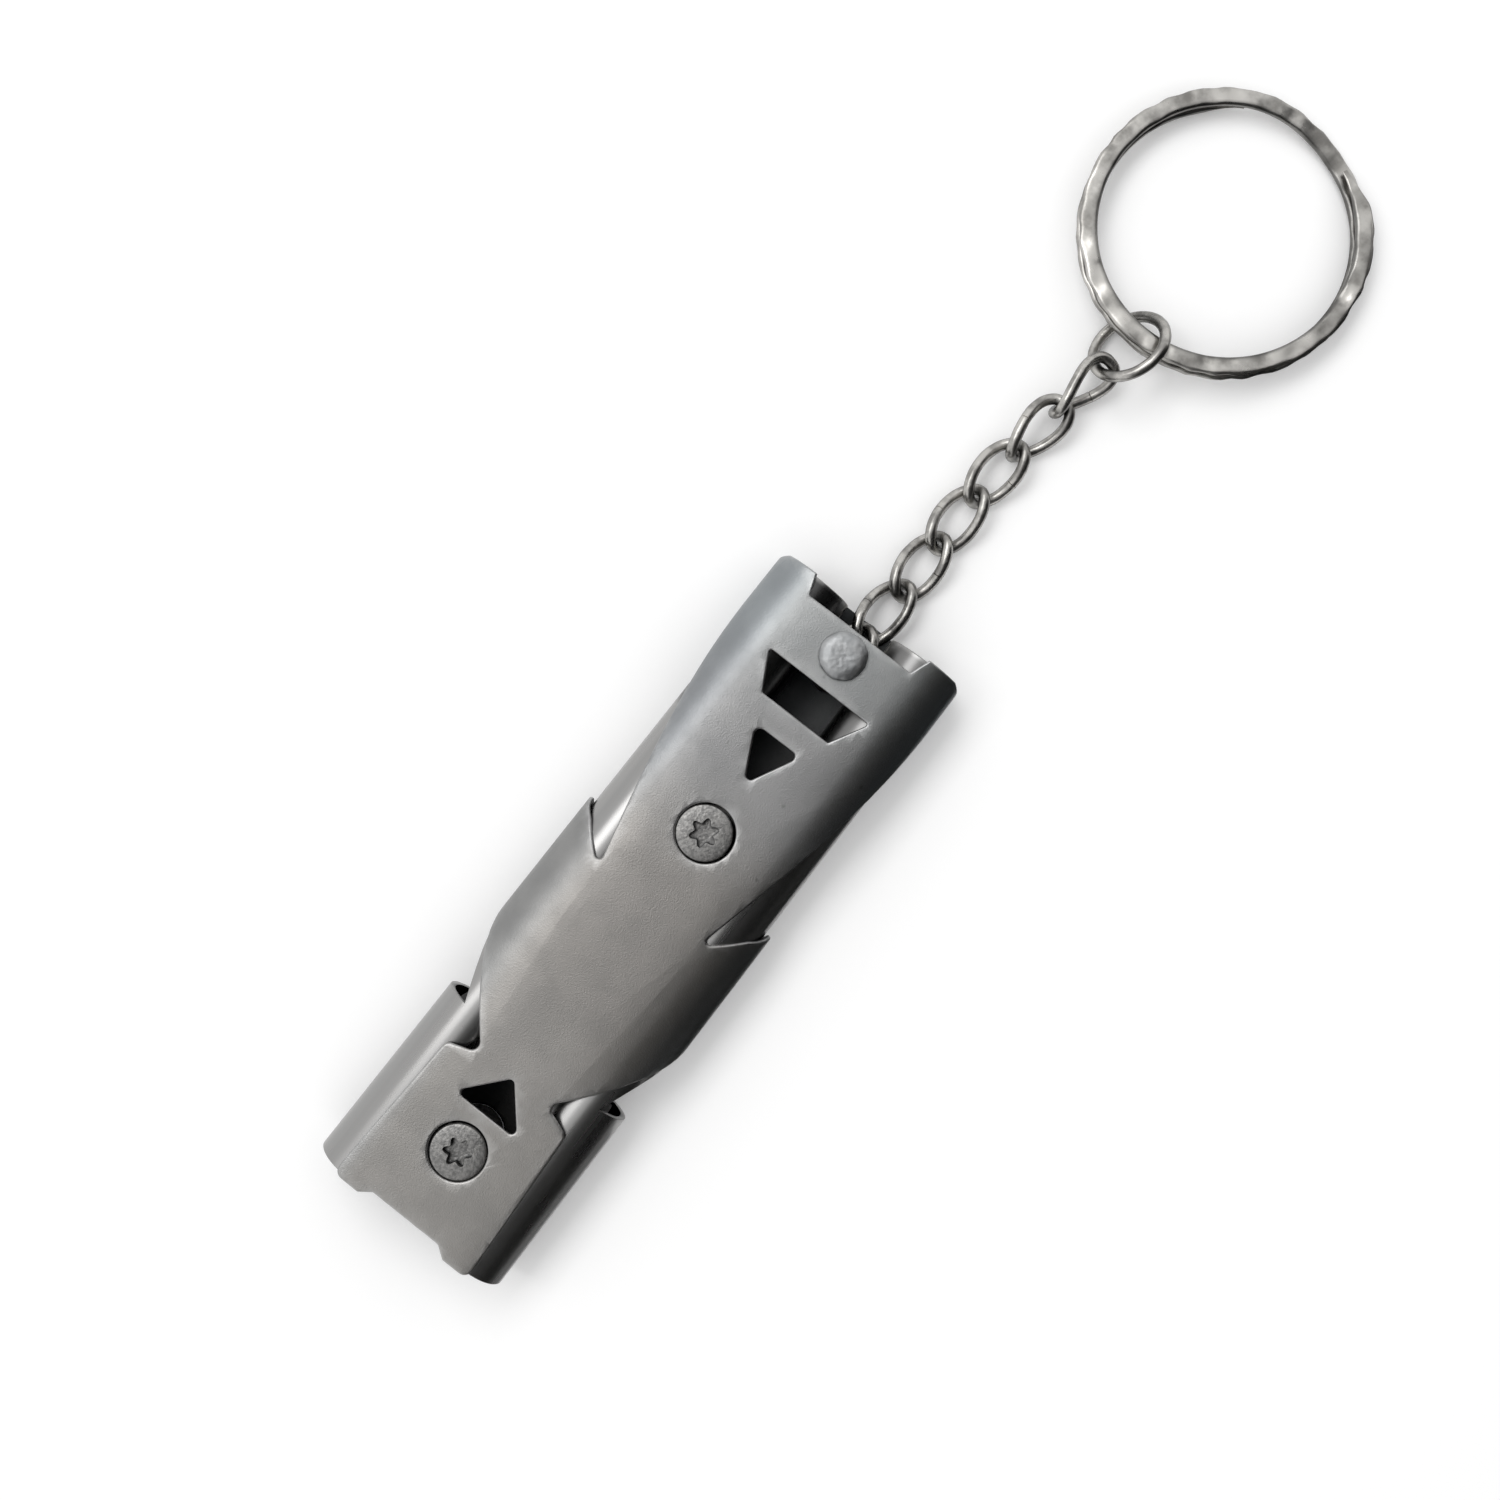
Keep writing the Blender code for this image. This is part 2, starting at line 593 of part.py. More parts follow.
def build_split_ring(plan):
    centre, turn = ring_frame(plan)
    path = split_ring_path()
    rings = [band_section(*station) for station in path]
    gap = min(((a - b).length for i, ring in enumerate(rings) for other in rings[i + 44:]
               for a, b in ((ring[k], other[m]) for k in range(8) for m in range(8))
               if abs(a.z - b.z) < 2 * SPLIT_RING_LEAF), default=0.0)
    print("least gap between the split ring's turns, mm:", round(gap, 3))
    bm = loft(rings, loop=False)
    spin = Matrix.Rotation(math.radians(140.0), 3, "Z")
    bmesh.ops.transform(bm, matrix=Matrix.Translation(centre) @ (turn @ spin).to_4x4(), verts=bm.verts)
    return finish("split_ring", bm, NICKEL, origin=centre, smooth_angle=40.0)


def main():
    for obj in list(bpy.data.objects):
        bpy.data.objects.remove(obj)
    build_shell()
    for index, (side, label) in enumerate(((-1, "left"), (1, "right"))):
        build_pipe(f"{label}_pipe", side)
        build_plug(f"{label}_fipple_plug", side)
        build_stopper(f"{label}_end_stopper", side, STOPPER_DEPTHS[index])
    for s, label in zip(SCREW_S, ("upper", "lower")):
        build_screw(f"{label}_front_screw", s, True)
        build_screw(f"{label}_back_screw", s, False)
        build_spacer(f"{label}_spacer", s)
    build_rivet()
    plan = chain_plan()
    for k in range(len(plan)):
        build_link(k, plan)
    build_split_ring(plan)


main()
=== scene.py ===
# %% [markdown]
# # A steel pocket whistle on a short chain
# Two steel tubes sit side by side in a jacket that was cut flat and folded round them.
# Screws hold the jacket's plates to pillars between the tubes, and a rivet at the far end
# carries a curb chain, a jump ring and a hammered split ring.
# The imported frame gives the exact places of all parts. This lesson dresses them: it builds a
# finer mesh for each part, gives each metal its own finish, and lights them like a studio.

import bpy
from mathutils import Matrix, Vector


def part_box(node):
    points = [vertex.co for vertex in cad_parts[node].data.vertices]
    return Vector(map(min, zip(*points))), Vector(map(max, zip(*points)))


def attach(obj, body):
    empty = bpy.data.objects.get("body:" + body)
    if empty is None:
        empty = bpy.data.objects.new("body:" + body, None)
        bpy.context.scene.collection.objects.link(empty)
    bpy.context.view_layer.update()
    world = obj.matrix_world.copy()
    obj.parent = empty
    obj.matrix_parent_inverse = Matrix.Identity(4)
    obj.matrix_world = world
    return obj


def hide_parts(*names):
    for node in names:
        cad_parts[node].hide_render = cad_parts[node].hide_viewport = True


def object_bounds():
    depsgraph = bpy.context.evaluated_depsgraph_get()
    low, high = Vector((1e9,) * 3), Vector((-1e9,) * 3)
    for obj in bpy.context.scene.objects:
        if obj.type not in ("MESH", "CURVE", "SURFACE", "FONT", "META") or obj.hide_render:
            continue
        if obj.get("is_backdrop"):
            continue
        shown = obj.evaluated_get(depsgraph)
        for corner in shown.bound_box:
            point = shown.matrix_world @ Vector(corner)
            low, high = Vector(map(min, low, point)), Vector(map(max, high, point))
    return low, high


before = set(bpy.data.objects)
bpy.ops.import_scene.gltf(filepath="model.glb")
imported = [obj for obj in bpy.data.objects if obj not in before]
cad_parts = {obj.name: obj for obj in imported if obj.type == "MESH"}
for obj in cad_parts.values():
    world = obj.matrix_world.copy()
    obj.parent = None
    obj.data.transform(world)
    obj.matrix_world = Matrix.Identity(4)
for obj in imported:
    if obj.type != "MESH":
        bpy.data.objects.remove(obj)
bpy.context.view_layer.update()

# %% [markdown]
# ## Sizes
# Everything is drawn in millimetres, because that is how a whistle is measured, and is scaled
# to metres at the end. S is the distance from the mouth end. The values repeat those of the
# solids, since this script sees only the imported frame.

# %% Modules and the whistle's sizes
import math

import bmesh
import bpy
import numpy as np
from mathutils import Matrix, Vector, noise

MM = 0.001
BODY_LENGTH, ORIGIN_S = 65.0, 30.0
SCREW_S, RIVET_S = (42.0, 8.0), 60.8
PIPE_R, PIPE_WALL, PIPE_INSET = 3.325, 0.5, 0.2
PIPE_SPACING, SPLAY = 11.4, math.radians(0.65)
SHEET, SIDE_R = 0.45, 3.975
THICKNESS, MID_Z = 2 * SIDE_R, SIDE_R
FLOOR_GAP = 0.02


def axis_x(s):
    """Distance of a tube's axis from the middle at S."""
    return PIPE_SPACING / 2 + (BODY_LENGTH - s) * math.tan(SPLAY)


print("plate half-width at the mouth end:", round(axis_x(0.0), 2), "mm")

# %% [markdown]
# ## Finishes as node groups
# Real steel is never one flat colour. Each effect that several metals share is built once, as
# a node group that takes a position and gives back masks and heights. The shader itself stays
# in each material, so that every metal keeps its own roughness and tone.

# %% A small helper for node trees


def grow(tree, kind, links=None, **values):
    """Add a node, set its properties or its sockets by name, and connect what feeds it."""
    node = tree.nodes.new(kind)
    for name, value in values.items():
        if hasattr(node, name):
            setattr(node, name, value)
        else:
            node.inputs[name.replace("_", " ")].default_value = value
    for name, source in (links or {}).items():
        tree.links.new(source, node.inputs[name])
    return node


def ramp(tree, source, low, high, dark=0.0, light=1.0):
    """Stretch a value between low and high to the span from dark to light."""
    node = grow(tree, "ShaderNodeMapRange", {"Value": source})
    node.interpolation_type = "SMOOTHSTEP"
    for name, value in zip(("From Min", "From Max", "To Min", "To Max"), (low, high, dark, light)):
        node.inputs[name].default_value = value
    return node.outputs["Result"]


def arithmetic(tree, operation, first, second):
    """A Math node on two inputs, each a number or another node's output."""
    node = grow(tree, "ShaderNodeMath", operation=operation)
    for index, value in enumerate((first, second)):
        if isinstance(value, (int, float)):
            node.inputs[index].default_value = value
        else:
            tree.links.new(value, node.inputs[index])
    return node.outputs[0]


def cloud(tree, place, scale, detail=3.0, roughness=0.5, stretch=None):
    """Noise of a given scale per metre, stretched along an axis if asked."""
    if stretch:
        place = grow(tree, "ShaderNodeMapping", {"Vector": place}, Scale=stretch).outputs[0]
    return grow(tree, "ShaderNodeTexNoise", {"Vector": place}, Scale=scale, Detail=detail,
                Roughness=roughness).outputs["Fac"]


def new_group(name, inputs, outputs):
    """An empty node group with named sockets, and its two end nodes; Place is a vector."""
    group = bpy.data.node_groups.new(name, "ShaderNodeTree")
    for label in inputs:
        kind = "NodeSocketVector" if label == "Place" else "NodeSocketFloat"
        group.interface.new_socket(name=label, in_out="INPUT", socket_type=kind)
    for label in outputs:
        group.interface.new_socket(name=label, in_out="OUTPUT", socket_type="NodeSocketFloat")
    return group, group.nodes.new("NodeGroupInput"), group.nodes.new("NodeGroupOutput")


# %% [markdown]
# ### Blasted skin
# Glass beads blown at the steel leave thousands of tiny dents, about a tenth of a millimetre
# across, and broad cloudy patches where the blast lingered. Fine and coarse noise give the
# height of the dents, a slow noise gives the patches, and a few dark pits are the specks.

# %% Blasted skin
BLAST, gin, gout = new_group("blasted skin", ["Place", "Grain", "Cloud"], ["Height", "Patches", "Specks"])
place, grain = gin.outputs["Place"], gin.outputs["Grain"]
beads = grow(BLAST, "ShaderNodeTexVoronoi", {"Vector": place, "Scale": grain})
beads.feature = "SMOOTH_F1"
fine = grow(BLAST, "ShaderNodeTexNoise", {"Vector": place, "Scale": grain}, Detail=2.0, Roughness=0.7)
dents = arithmetic(BLAST, "MULTIPLY", beads.outputs["Distance"], 0.6)
dents = arithmetic(BLAST, "ADD", dents, fine.outputs["Fac"])
BLAST.links.new(dents, gout.inputs["Height"])
slow = grow(BLAST, "ShaderNodeTexNoise", {"Vector": place, "Scale": gin.outputs["Cloud"]},
            Detail=4.0, Roughness=0.55)
BLAST.links.new(ramp(BLAST, slow.outputs["Fac"], 0.35, 0.65), gout.inputs["Patches"])
pits = grow(BLAST, "ShaderNodeTexVoronoi", {"Vector": place}, Scale=420.0)
rare = ramp(BLAST, cloud(BLAST, place, 260.0, 1.0), 0.58, 0.66)
pits = ramp(BLAST, pits.outputs["Distance"], 0.03, 0.11, 1.0, 0.0)
BLAST.links.new(arithmetic(BLAST, "MULTIPLY", pits, rare), gout.inputs["Specks"])
print("group:", BLAST.name, len(BLAST.nodes), "nodes")

# %% [markdown]
# ### Drawn lines
# A tube is pulled through a die, which leaves hair lines along it. Noise that is squeezed
# across the tube and stretched along it gives them.

# %% Drawn lines
DRAWN, gin, gout = new_group("drawn lines", ["Place"], ["Height", "Streaks"])
place = gin.outputs["Place"]
hair = cloud(DRAWN, place, 1.0, 3.0, 0.7, stretch=(5200.0, 90.0, 5200.0))
DRAWN.links.new(hair, gout.inputs["Height"])
streaks = cloud(DRAWN, place, 1.0, 2.0, 0.5, stretch=(1500.0, 40.0, 1500.0))
DRAWN.links.new(ramp(DRAWN, streaks, 0.3, 0.7), gout.inputs["Streaks"])
print("group:", DRAWN.name, len(DRAWN.nodes), "nodes")

# %% [markdown]
# ### Handling marks
# A whistle lives on a key ring, so keys scratch it. A thin band around the middle value of a
# slow noise is a long curved line, and a second noise breaks it into short scratches. Three sets
# at different angles cross each other. Smudges from fingers only change the gloss.

# %% Handling marks
MARKS, gin, gout = new_group("handling marks", ["Place"], ["Scratches", "Smudges"])
place = gin.outputs["Place"]
SCRATCH_SETS = ((0.5, 300.0, 0.12), (-0.9, 380.0, 0.1), (1.4, 260.0, 0.15))
lines = []
for turn, scale, stretch in SCRATCH_SETS:
    turned_place = grow(MARKS, "ShaderNodeMapping", {"Vector": place}, Rotation=(0.0, 0.0, turn)).outputs[0]
    wave = cloud(MARKS, turned_place, scale, 1.0, 0.4, stretch=(1.0, stretch, 1.0))
    offset = arithmetic(MARKS, "ABSOLUTE", arithmetic(MARKS, "SUBTRACT", wave, 0.5), 0.0)
    line = ramp(MARKS, offset, 0.0006, 0.0026, 1.0, 0.0)
    patch = ramp(MARKS, cloud(MARKS, turned_place, scale * 0.9, 1.0, 0.5), 0.52, 0.6)
    lines.append(arithmetic(MARKS, "MULTIPLY", line, patch))
most = arithmetic(MARKS, "MAXIMUM", arithmetic(MARKS, "MAXIMUM", lines[0], lines[1]), lines[2])
MARKS.links.new(most, gout.inputs["Scratches"])
MARKS.links.new(ramp(MARKS, cloud(MARKS, place, 210.0, 5.0, 0.6), 0.42, 0.68), gout.inputs["Smudges"])
print("group:", MARKS.name, len(MARKS.nodes), "nodes")

# %% [markdown]
# ### Edge wear, sheen and painted shade
# Pockets polish a part's edges first. An attribute named rim is 1 on the jacket's cut edges and
# fades to 0 within half a millimetre; on the key ring it marks what no blow has hit. Noise
# breaks it up, because rubbing is never even. On the jacket the lighter tone at the rim also
# paints the highlight line that its cut edges catch. The attribute inside holds painted shade.

# %% Edge wear, sheen and painted shade
RUB_SHEEN_AND_SHADE, gin, gout = new_group("edge wear, sheen and painted shade", ["Place"], ["Rub", "Painted shade"])
# The rim mask gives edge wear, and on the jacket a painted highlight line along the cuts.
rim = grow(RUB_SHEEN_AND_SHADE, "ShaderNodeAttribute", attribute_name="rim").outputs["Fac"]
broken = ramp(RUB_SHEEN_AND_SHADE, cloud(RUB_SHEEN_AND_SHADE, gin.outputs["Place"], 900.0, 3.0, 0.6), 0.3, 0.65, 0.35, 1.0)
RUB_SHEEN_AND_SHADE.links.new(arithmetic(RUB_SHEEN_AND_SHADE, "MULTIPLY", rim, broken), gout.inputs["Rub"])
# Painted shade: the attribute inside darkens bores, sockets, bends and hidden faces.
inside = grow(RUB_SHEEN_AND_SHADE, "ShaderNodeAttribute", attribute_name="inside").outputs["Fac"]
RUB_SHEEN_AND_SHADE.links.new(inside, gout.inputs["Painted shade"])
print("group:", RUB_SHEEN_AND_SHADE.name, len(RUB_SHEEN_AND_SHADE.nodes), "nodes")

# %% [markdown]
# ## Metals
# All the metals share one recipe: two tones mixed by patches, streaks or speckle, a lighter
# tone on polished edges, which on the jacket also paints a highlight line, painted shade where
# the attribute inside asks for it and, on the nickel, where the surface turns away from the eye,
# and a roughness that moves with the same masks. The numbers differ: the jacket is a soft mid
# grey, the tubes are glossier, the chain is bright nickel.

# %% The recipe for a metal


def blend_colour(tree, amount, first, second, kind="MIX"):
    """Mix two colours, each a tuple or another node's output."""
    node = tree.nodes.new("ShaderNodeMix")
    node.data_type, node.blend_type = "RGBA", kind
    if isinstance(amount, (int, float)):
        node.inputs[0].default_value = amount
    else:
        tree.links.new(amount, node.inputs[0])
    for index, value in ((6, first), (7, second)):
        if isinstance(value, tuple):
            node.inputs[index].default_value = (*value, 1.0)
        else:
            tree.links.new(value, node.inputs[index])
    return node.outputs[2]


PIT_DARK, PAINTED_SHADE_DARK, GRAZING_SHADE_DARK = (0.09, 0.09, 0.09), (0.018, 0.019, 0.02), (0.035, 0.034, 0.032)


def metal(name, tones, wear_and_sheen_tone, roughness, group, bump, grain=0.0, cloud_scale=120.0, scratch=0.0,
          smudge=0.06, grazing_shade=0.0, tints=()):
    """A steel or nickel with its own skin group, scratches, smudges, edge wear that on the jacket
    also paints a highlight line, and painted shade.

    A tint is an axis, the two places in metres between which it grows, and its colour."""
    made = bpy.data.materials.new(name)
    made.use_nodes = True
    tree = made.node_tree
    shader = tree.nodes["Principled BSDF"]
    shader.inputs["Metallic"].default_value = 1.0
    place = grow(tree, "ShaderNodeTexCoord").outputs["Object"]
    skin, marks, wear_sheen_shade = (grow(tree, "ShaderNodeGroup", {"Place": place}, node_tree=effect)
                        for effect in (group, MARKS, RUB_SHEEN_AND_SHADE))
    if "Grain" in skin.inputs:
        skin.inputs["Grain"].default_value, skin.inputs["Cloud"].default_value = grain, cloud_scale
    tone = skin.outputs["Patches"] if "Patches" in skin.outputs else skin.outputs["Streaks"]
    colour = blend_colour(tree, tone, *tones)
    for axis, start, end, factor in tints:
        spot = grow(tree, "ShaderNodeSeparateXYZ", {"Vector": place}).outputs[axis]
        tint = blend_colour(tree, ramp(tree, spot, start, end), (1.0, 1.0, 1.0), factor)
        colour = blend_colour(tree, 1.0, colour, tint, "MULTIPLY")
    # Edge wear lightens the tone; on the jacket's cut edges this also paints a highlight line.
    wear_and_sheen = arithmetic(tree, "MULTIPLY", wear_sheen_shade.outputs["Rub"], 0.8)
    colour = blend_colour(tree, wear_and_sheen, colour, wear_and_sheen_tone)
    light = tuple(min(1.0, channel * 1.25) for channel in wear_and_sheen_tone)
    line = arithmetic(tree, "MULTIPLY", marks.outputs["Scratches"], scratch)
    colour = blend_colour(tree, line, colour, light)
    if "Specks" in skin.outputs:
        dark = arithmetic(tree, "MULTIPLY", skin.outputs["Specks"], 0.5)
        colour = blend_colour(tree, dark, colour, PIT_DARK)
    # Painted shade where the attribute inside asks for it.
    colour = blend_colour(tree, wear_sheen_shade.outputs["Painted shade"], colour, PAINTED_SHADE_DARK)
    # Painted shade: the colour darkens where the surface turns away from the eye, at a wire's edges.
    if grazing_shade:
        facing = grow(tree, "ShaderNodeLayerWeight", Blend=0.5).outputs["Facing"]
        colour = blend_colour(tree, ramp(tree, facing, 0.3, 0.95, 0.0, grazing_shade), colour, GRAZING_SHADE_DARK)
    tree.links.new(colour, shader.inputs["Base Color"])
    rough = arithmetic(tree, "MULTIPLY_ADD", tone, -0.02)
    rough.node.inputs[2].default_value = roughness + 0.01
    rough = arithmetic(tree, "ADD", rough, arithmetic(tree, "MULTIPLY", marks.outputs["Smudges"], smudge))
    rough = arithmetic(tree, "SUBTRACT", rough, arithmetic(tree, "MULTIPLY", wear_sheen_shade.outputs["Rub"], 0.1))
    tree.links.new(rough, shader.inputs["Roughness"])
    depth = arithmetic(tree, "MULTIPLY", marks.outputs["Scratches"], min(1.0, 4.0 * scratch))
    height = arithmetic(tree, "SUBTRACT", skin.outputs["Height"], depth)
    relief = grow(tree, "ShaderNodeBump", {"Height": height}, Strength=bump, Distance=0.00002)
    tree.links.new(relief.outputs[0], shader.inputs["Normal"])
    return made


# %% The seven metals
# The Y tints darken the jacket from S 26 on and cool its chain end; the X tints paint a cool reflection on
# the left flank and shade on the right flank.
JACKET_TINTS = (("Y", -0.014, -0.004, (0.890, 0.885, 0.882)), ("Y", 0.006, 0.018, (0.970, 1.010, 1.062)),
                ("Y", 0.021, 0.031, (1.066, 1.092, 1.092)), ("X", -0.0052, -0.0078, (0.972, 1.012, 1.052)),
                ("X", 0.0070, 0.0092, (0.900, 0.950, 1.010)))
JACKET_STEEL = metal("blasted jacket steel", ((0.277, 0.268, 0.256), (0.307, 0.296, 0.282)),
                     (0.50, 0.50, 0.50), 0.40, BLAST, 0.8, grain=9000.0, cloud_scale=260.0,
                     smudge=0.03, tints=JACKET_TINTS)
TUBE_STEEL = metal("drawn tube steel", ((0.305, 0.303, 0.300), (0.322, 0.318, 0.313)),
                   (0.50, 0.49, 0.48), 0.28, DRAWN, 0.004, smudge=0.02)
SCREW_STEEL = metal("turned screw steel", ((0.175, 0.173, 0.170), (0.285, 0.28, 0.272)),
                    (0.40, 0.39, 0.38), 0.38, BLAST, 1.2, grain=5000.0, cloud_scale=3200.0)
RIVET_STEEL = metal("hammered rivet steel", ((0.29, 0.297, 0.302), (0.36, 0.366, 0.37)),
                    (0.46, 0.46, 0.46), 0.46, BLAST, 1.0, grain=2300.0, cloud_scale=900.0)
# Plugs, stoppers and pillars sit in the dark; their steel is painted nearly black as shade.
CORE_SHADE_STEEL = metal("inner steel darkened as painted shade", ((0.04, 0.04, 0.042), (0.07, 0.069, 0.067)),
                   (0.12, 0.12, 0.12), 0.6, BLAST, 0.5, grain=6000.0)
# The two nickels get painted shade at the edges that turn away from the eye.
LINK_NICKEL = metal("dulled link nickel", ((0.25, 0.243, 0.232), (0.52, 0.508, 0.482)),
                    (0.53, 0.52, 0.49), 0.27, BLAST, 0.5, grain=2600.0, cloud_scale=650.0,
                    scratch=0.05, grazing_shade=0.75)
RING_NICKEL = metal("bright ring nickel", ((0.20, 0.193, 0.182), (0.51, 0.497, 0.472)),
                    (0.57, 0.558, 0.532), 0.32, BLAST, 0.3, grain=2600.0, cloud_scale=380.0,
                    scratch=0.05, grazing_shade=0.45)
print("metals made:", len(bpy.data.materials))

# %% [markdown]
# ## From a drawing to a finished piece
# Each mesh is built in millimetres. The last step scales it to metres, makes its normals point
# out, marks hard edges, hides the part of the frame that it stands for and hangs it on the body
# it moves with. Weighted normals keep flat faces flat in the reflections.

# %% Finish a piece


def to_object(name, bm, look):
    """Hand a mesh over to a new object with one material, and put it in the scene."""
    mesh = bpy.data.meshes.new(name)
    bm.to_mesh(mesh)
    bm.free()
    mesh.materials.append(look)
    made = bpy.data.objects.new(name, mesh)
    bpy.context.collection.objects.link(made)
    return made


def finish(name, bm, look, node, body="whistle", sharp=35.0, bevel=0.0):
    """Turn a mesh in millimetres into the piece that stands for a node."""
    bmesh.ops.recalc_face_normals(bm, faces=bm.faces)
    if bm.calc_volume(signed=True) < 0:
        bmesh.ops.reverse_faces(bm, faces=bm.faces)
    bmesh.ops.scale(bm, verts=bm.verts, vec=(MM, MM, MM))
    piece = to_object(name, bm, look)
    piece.data.shade_smooth()
    piece.data.set_sharp_from_angle(angle=math.radians(sharp))
    if bevel:
        soft = piece.modifiers.new("soft edges", "BEVEL")
        soft.width, soft.segments, soft.limit_method = bevel * MM, 2, "ANGLE"
        soft.angle_limit = math.radians(sharp)
    flat = piece.modifiers.new("flat faces", "WEIGHTED_NORMAL")
    flat.keep_sharp = True
    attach(piece, body)
    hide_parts(node)
    print(f"{name}: {len(piece.data.polygons)} faces")


# %% Helpers that shape a mesh


def turn_about(axis, degrees, size=4):
    return Matrix.Rotation(math.radians(degrees), size, axis)


def move(bm, matrix):
    bmesh.ops.transform(bm, matrix=matrix, verts=bm.verts)


def slice_through(bm, point, normal, dist=1e-4):
    """Lay a row of edges where a plane meets the whole mesh."""
    bmesh.ops.bisect_plane(bm, geom=bm.verts[:] + bm.edges[:] + bm.faces[:], dist=dist,
                           plane_co=point, plane_no=normal)


def revolve(profile, steps, place=None):
    """Spin an outline of (radius, height) about Z with the spin operator."""
    bm = bmesh.new()
    points = [bm.verts.new((r, 0.0, h)) for r, h in profile]
    closing = points[:1] if min(r for r, h in profile) > 0 else []
    edges = [bm.edges.new(pair) for pair in zip(points, points[1:] + closing)]
    bmesh.ops.spin(bm, geom=points + edges, cent=(0, 0, 0), axis=(0, 0, 1),
                   angle=2 * math.pi, steps=steps, use_merge=True)
    bmesh.ops.remove_doubles(bm, verts=bm.verts, dist=1e-4)
    if place is not None:
        move(bm, place)
    return bm


def prism(outline, low, high):
    """A flat outline made solid between two heights."""
    bm = bmesh.new()
    face = bm.faces.new([bm.verts.new((x, y, low)) for x, y in outline])
    made = bmesh.ops.extrude_face_region(bm, geom=[face])
    top = [v for v in made["geom"] if isinstance(v, bmesh.types.BMVert)]
    bmesh.ops.translate(bm, verts=top, vec=(0, 0, high - low))
    bmesh.ops.recalc_face_normals(bm, faces=bm.faces)
    return bm


def carve(solid, cutters):
    """Cut every cutter out of the solid with exact booleans."""
    blanks = []
    for bm in [solid] + cutters:
        bmesh.ops.recalc_face_normals(bm, faces=bm.faces)
        mesh = bpy.data.meshes.new("blank")
        bm.to_mesh(mesh)
        bm.free()
        blanks.append(bpy.data.objects.new("blank", mesh))
        bpy.context.collection.objects.link(blanks[-1])
    for cutter in blanks[1:]:
        cut = blanks[0].modifiers.new("cut", "BOOLEAN")
        cut.operation, cut.solver, cut.object = "DIFFERENCE", "EXACT", cutter
    graph = bpy.context.evaluated_depsgraph_get()
    result = bpy.data.meshes.new_from_object(blanks[0].evaluated_get(graph))
    bm = bmesh.new()
    bm.from_mesh(result)
    for blank in blanks:
        bpy.data.objects.remove(blank)
    bmesh.ops.remove_doubles(bm, verts=bm.verts, dist=1e-4)
    return bm


# %% [markdown]
# ## The jacket's flat pattern
# The real jacket is one sheet, cut flat. So the pattern is drawn flat too: one outline, with
# windows and screw holes inside it. Working flat makes every cut simple, and folding it later
# bends the straight cuts into the curved edges that the real jacket shows.

# %% Outline helpers
FLAT_HALF = axis_x(0.0)
WRAP = math.pi * SIDE_R
SIDE_LINE = FLAT_HALF + WRAP / 2
BACK_LINE = 2 * SIDE_LINE
print("width of the flat sheet:", round(2 * BACK_LINE, 1), "mm")


def across(width, s):
    """Pattern position of a point that lies so far from the middle along the sheet."""
    flat = axis_x(s)
    if abs(width) <= flat:
        return width * FLAT_HALF / flat
    return math.copysign(FLAT_HALF + abs(width) - flat, width)


def corner(width, s, radius):
    """A corner of the outline: how far from the middle, at which S, and how round."""
    return across(width, s), s, radius


def rounded(corners, steps=7):
    """Replace each (x, y, radius) corner by an arc; a zero radius stays sharp."""
    outline = []
    for i, (x, y, radius) in enumerate(corners):
        here = Vector((x, y))
        if radius <= 0:
            outline.append((x, y))
            continue
        before = (Vector(corners[i - 1][:2]) - here).normalized()
        after = (Vector(corners[(i + 1) % len(corners)][:2]) - here).normalized()
        half = before.angle(after) / 2
        middle = here + (before + after).normalized() * (radius / math.sin(half))
        start = here + before * (radius / math.tan(half)) - middle
        turn = start.angle_signed(here + after * (radius / math.tan(half)) - middle)
        outline += [tuple(middle + Matrix.Rotation(-turn * k / steps, 2) @ start) for k in range(steps + 1)]
    return outline


def back_half(corners):
    """The same corners mirrored in the middle of the folded side, in reverse order."""
    return [(2 * SIDE_LINE - x, y, r) for x, y, r in reversed(corners) if x < SIDE_LINE]


# %% Draw the outline and the windows
RECESS_DEPTH, WAIST_TOP_S = 0.8, 26.0
foot = [(across(3.5, 0.0), RECESS_DEPTH, 0.4), corner(4.6, 0.0, 0.4), corner(7.3, 0.0, 0.85)]
waist = [corner(6.5, 14.65, 0.8), corner(3.6, 15.7, 0.65)]
lower_side = foot + waist + [(SIDE_LINE, WAIST_TOP_S, 0.3)] + back_half(foot + waist)
DIP_HALF, DIP_DEPTH = 2.3, 0.6
chain_end = [(SIDE_LINE + DIP_HALF, BODY_LENGTH, 0.0), (SIDE_LINE, BODY_LENGTH - DIP_DEPTH, 2.5),
             (SIDE_LINE - DIP_HALF, BODY_LENGTH, 0.0), corner(6.0, BODY_LENGTH, 0.12),
             corner(5.3, 63.15, 0.25)]
right_side = lower_side + [(BACK_LINE, RECESS_DEPTH, 0.0), (BACK_LINE, BODY_LENGTH, 0.0)] + chain_end
left_side = [(-x, y, r) for x, y, r in reversed(right_side)]
outer_outline = rounded(right_side + left_side)

notch = [(SIDE_LINE, 60.0, 0.3), corner(5.4, 34.2, 0.35), corner(9.1, 36.9, 3.0)]
notch_right = rounded(notch + [(SIDE_LINE, 38.2, 0.6)] + back_half(notch))
slot = rounded([corner(x, s, 0.2) for x, s in ((-5.25, 57.6), (-3.45, 54.3), (3.45, 54.3), (5.25, 57.6))])
down = rounded([corner(-2.28, 51.85, 0.55), corner(0.03, 47.35, 0.42), corner(2.33, 51.88, 0.45)])
up = rounded([corner(x, s, 0.4) for x, s in ((-3.3, 11.9), (0.0, 15.75), (3.3, 11.9))])


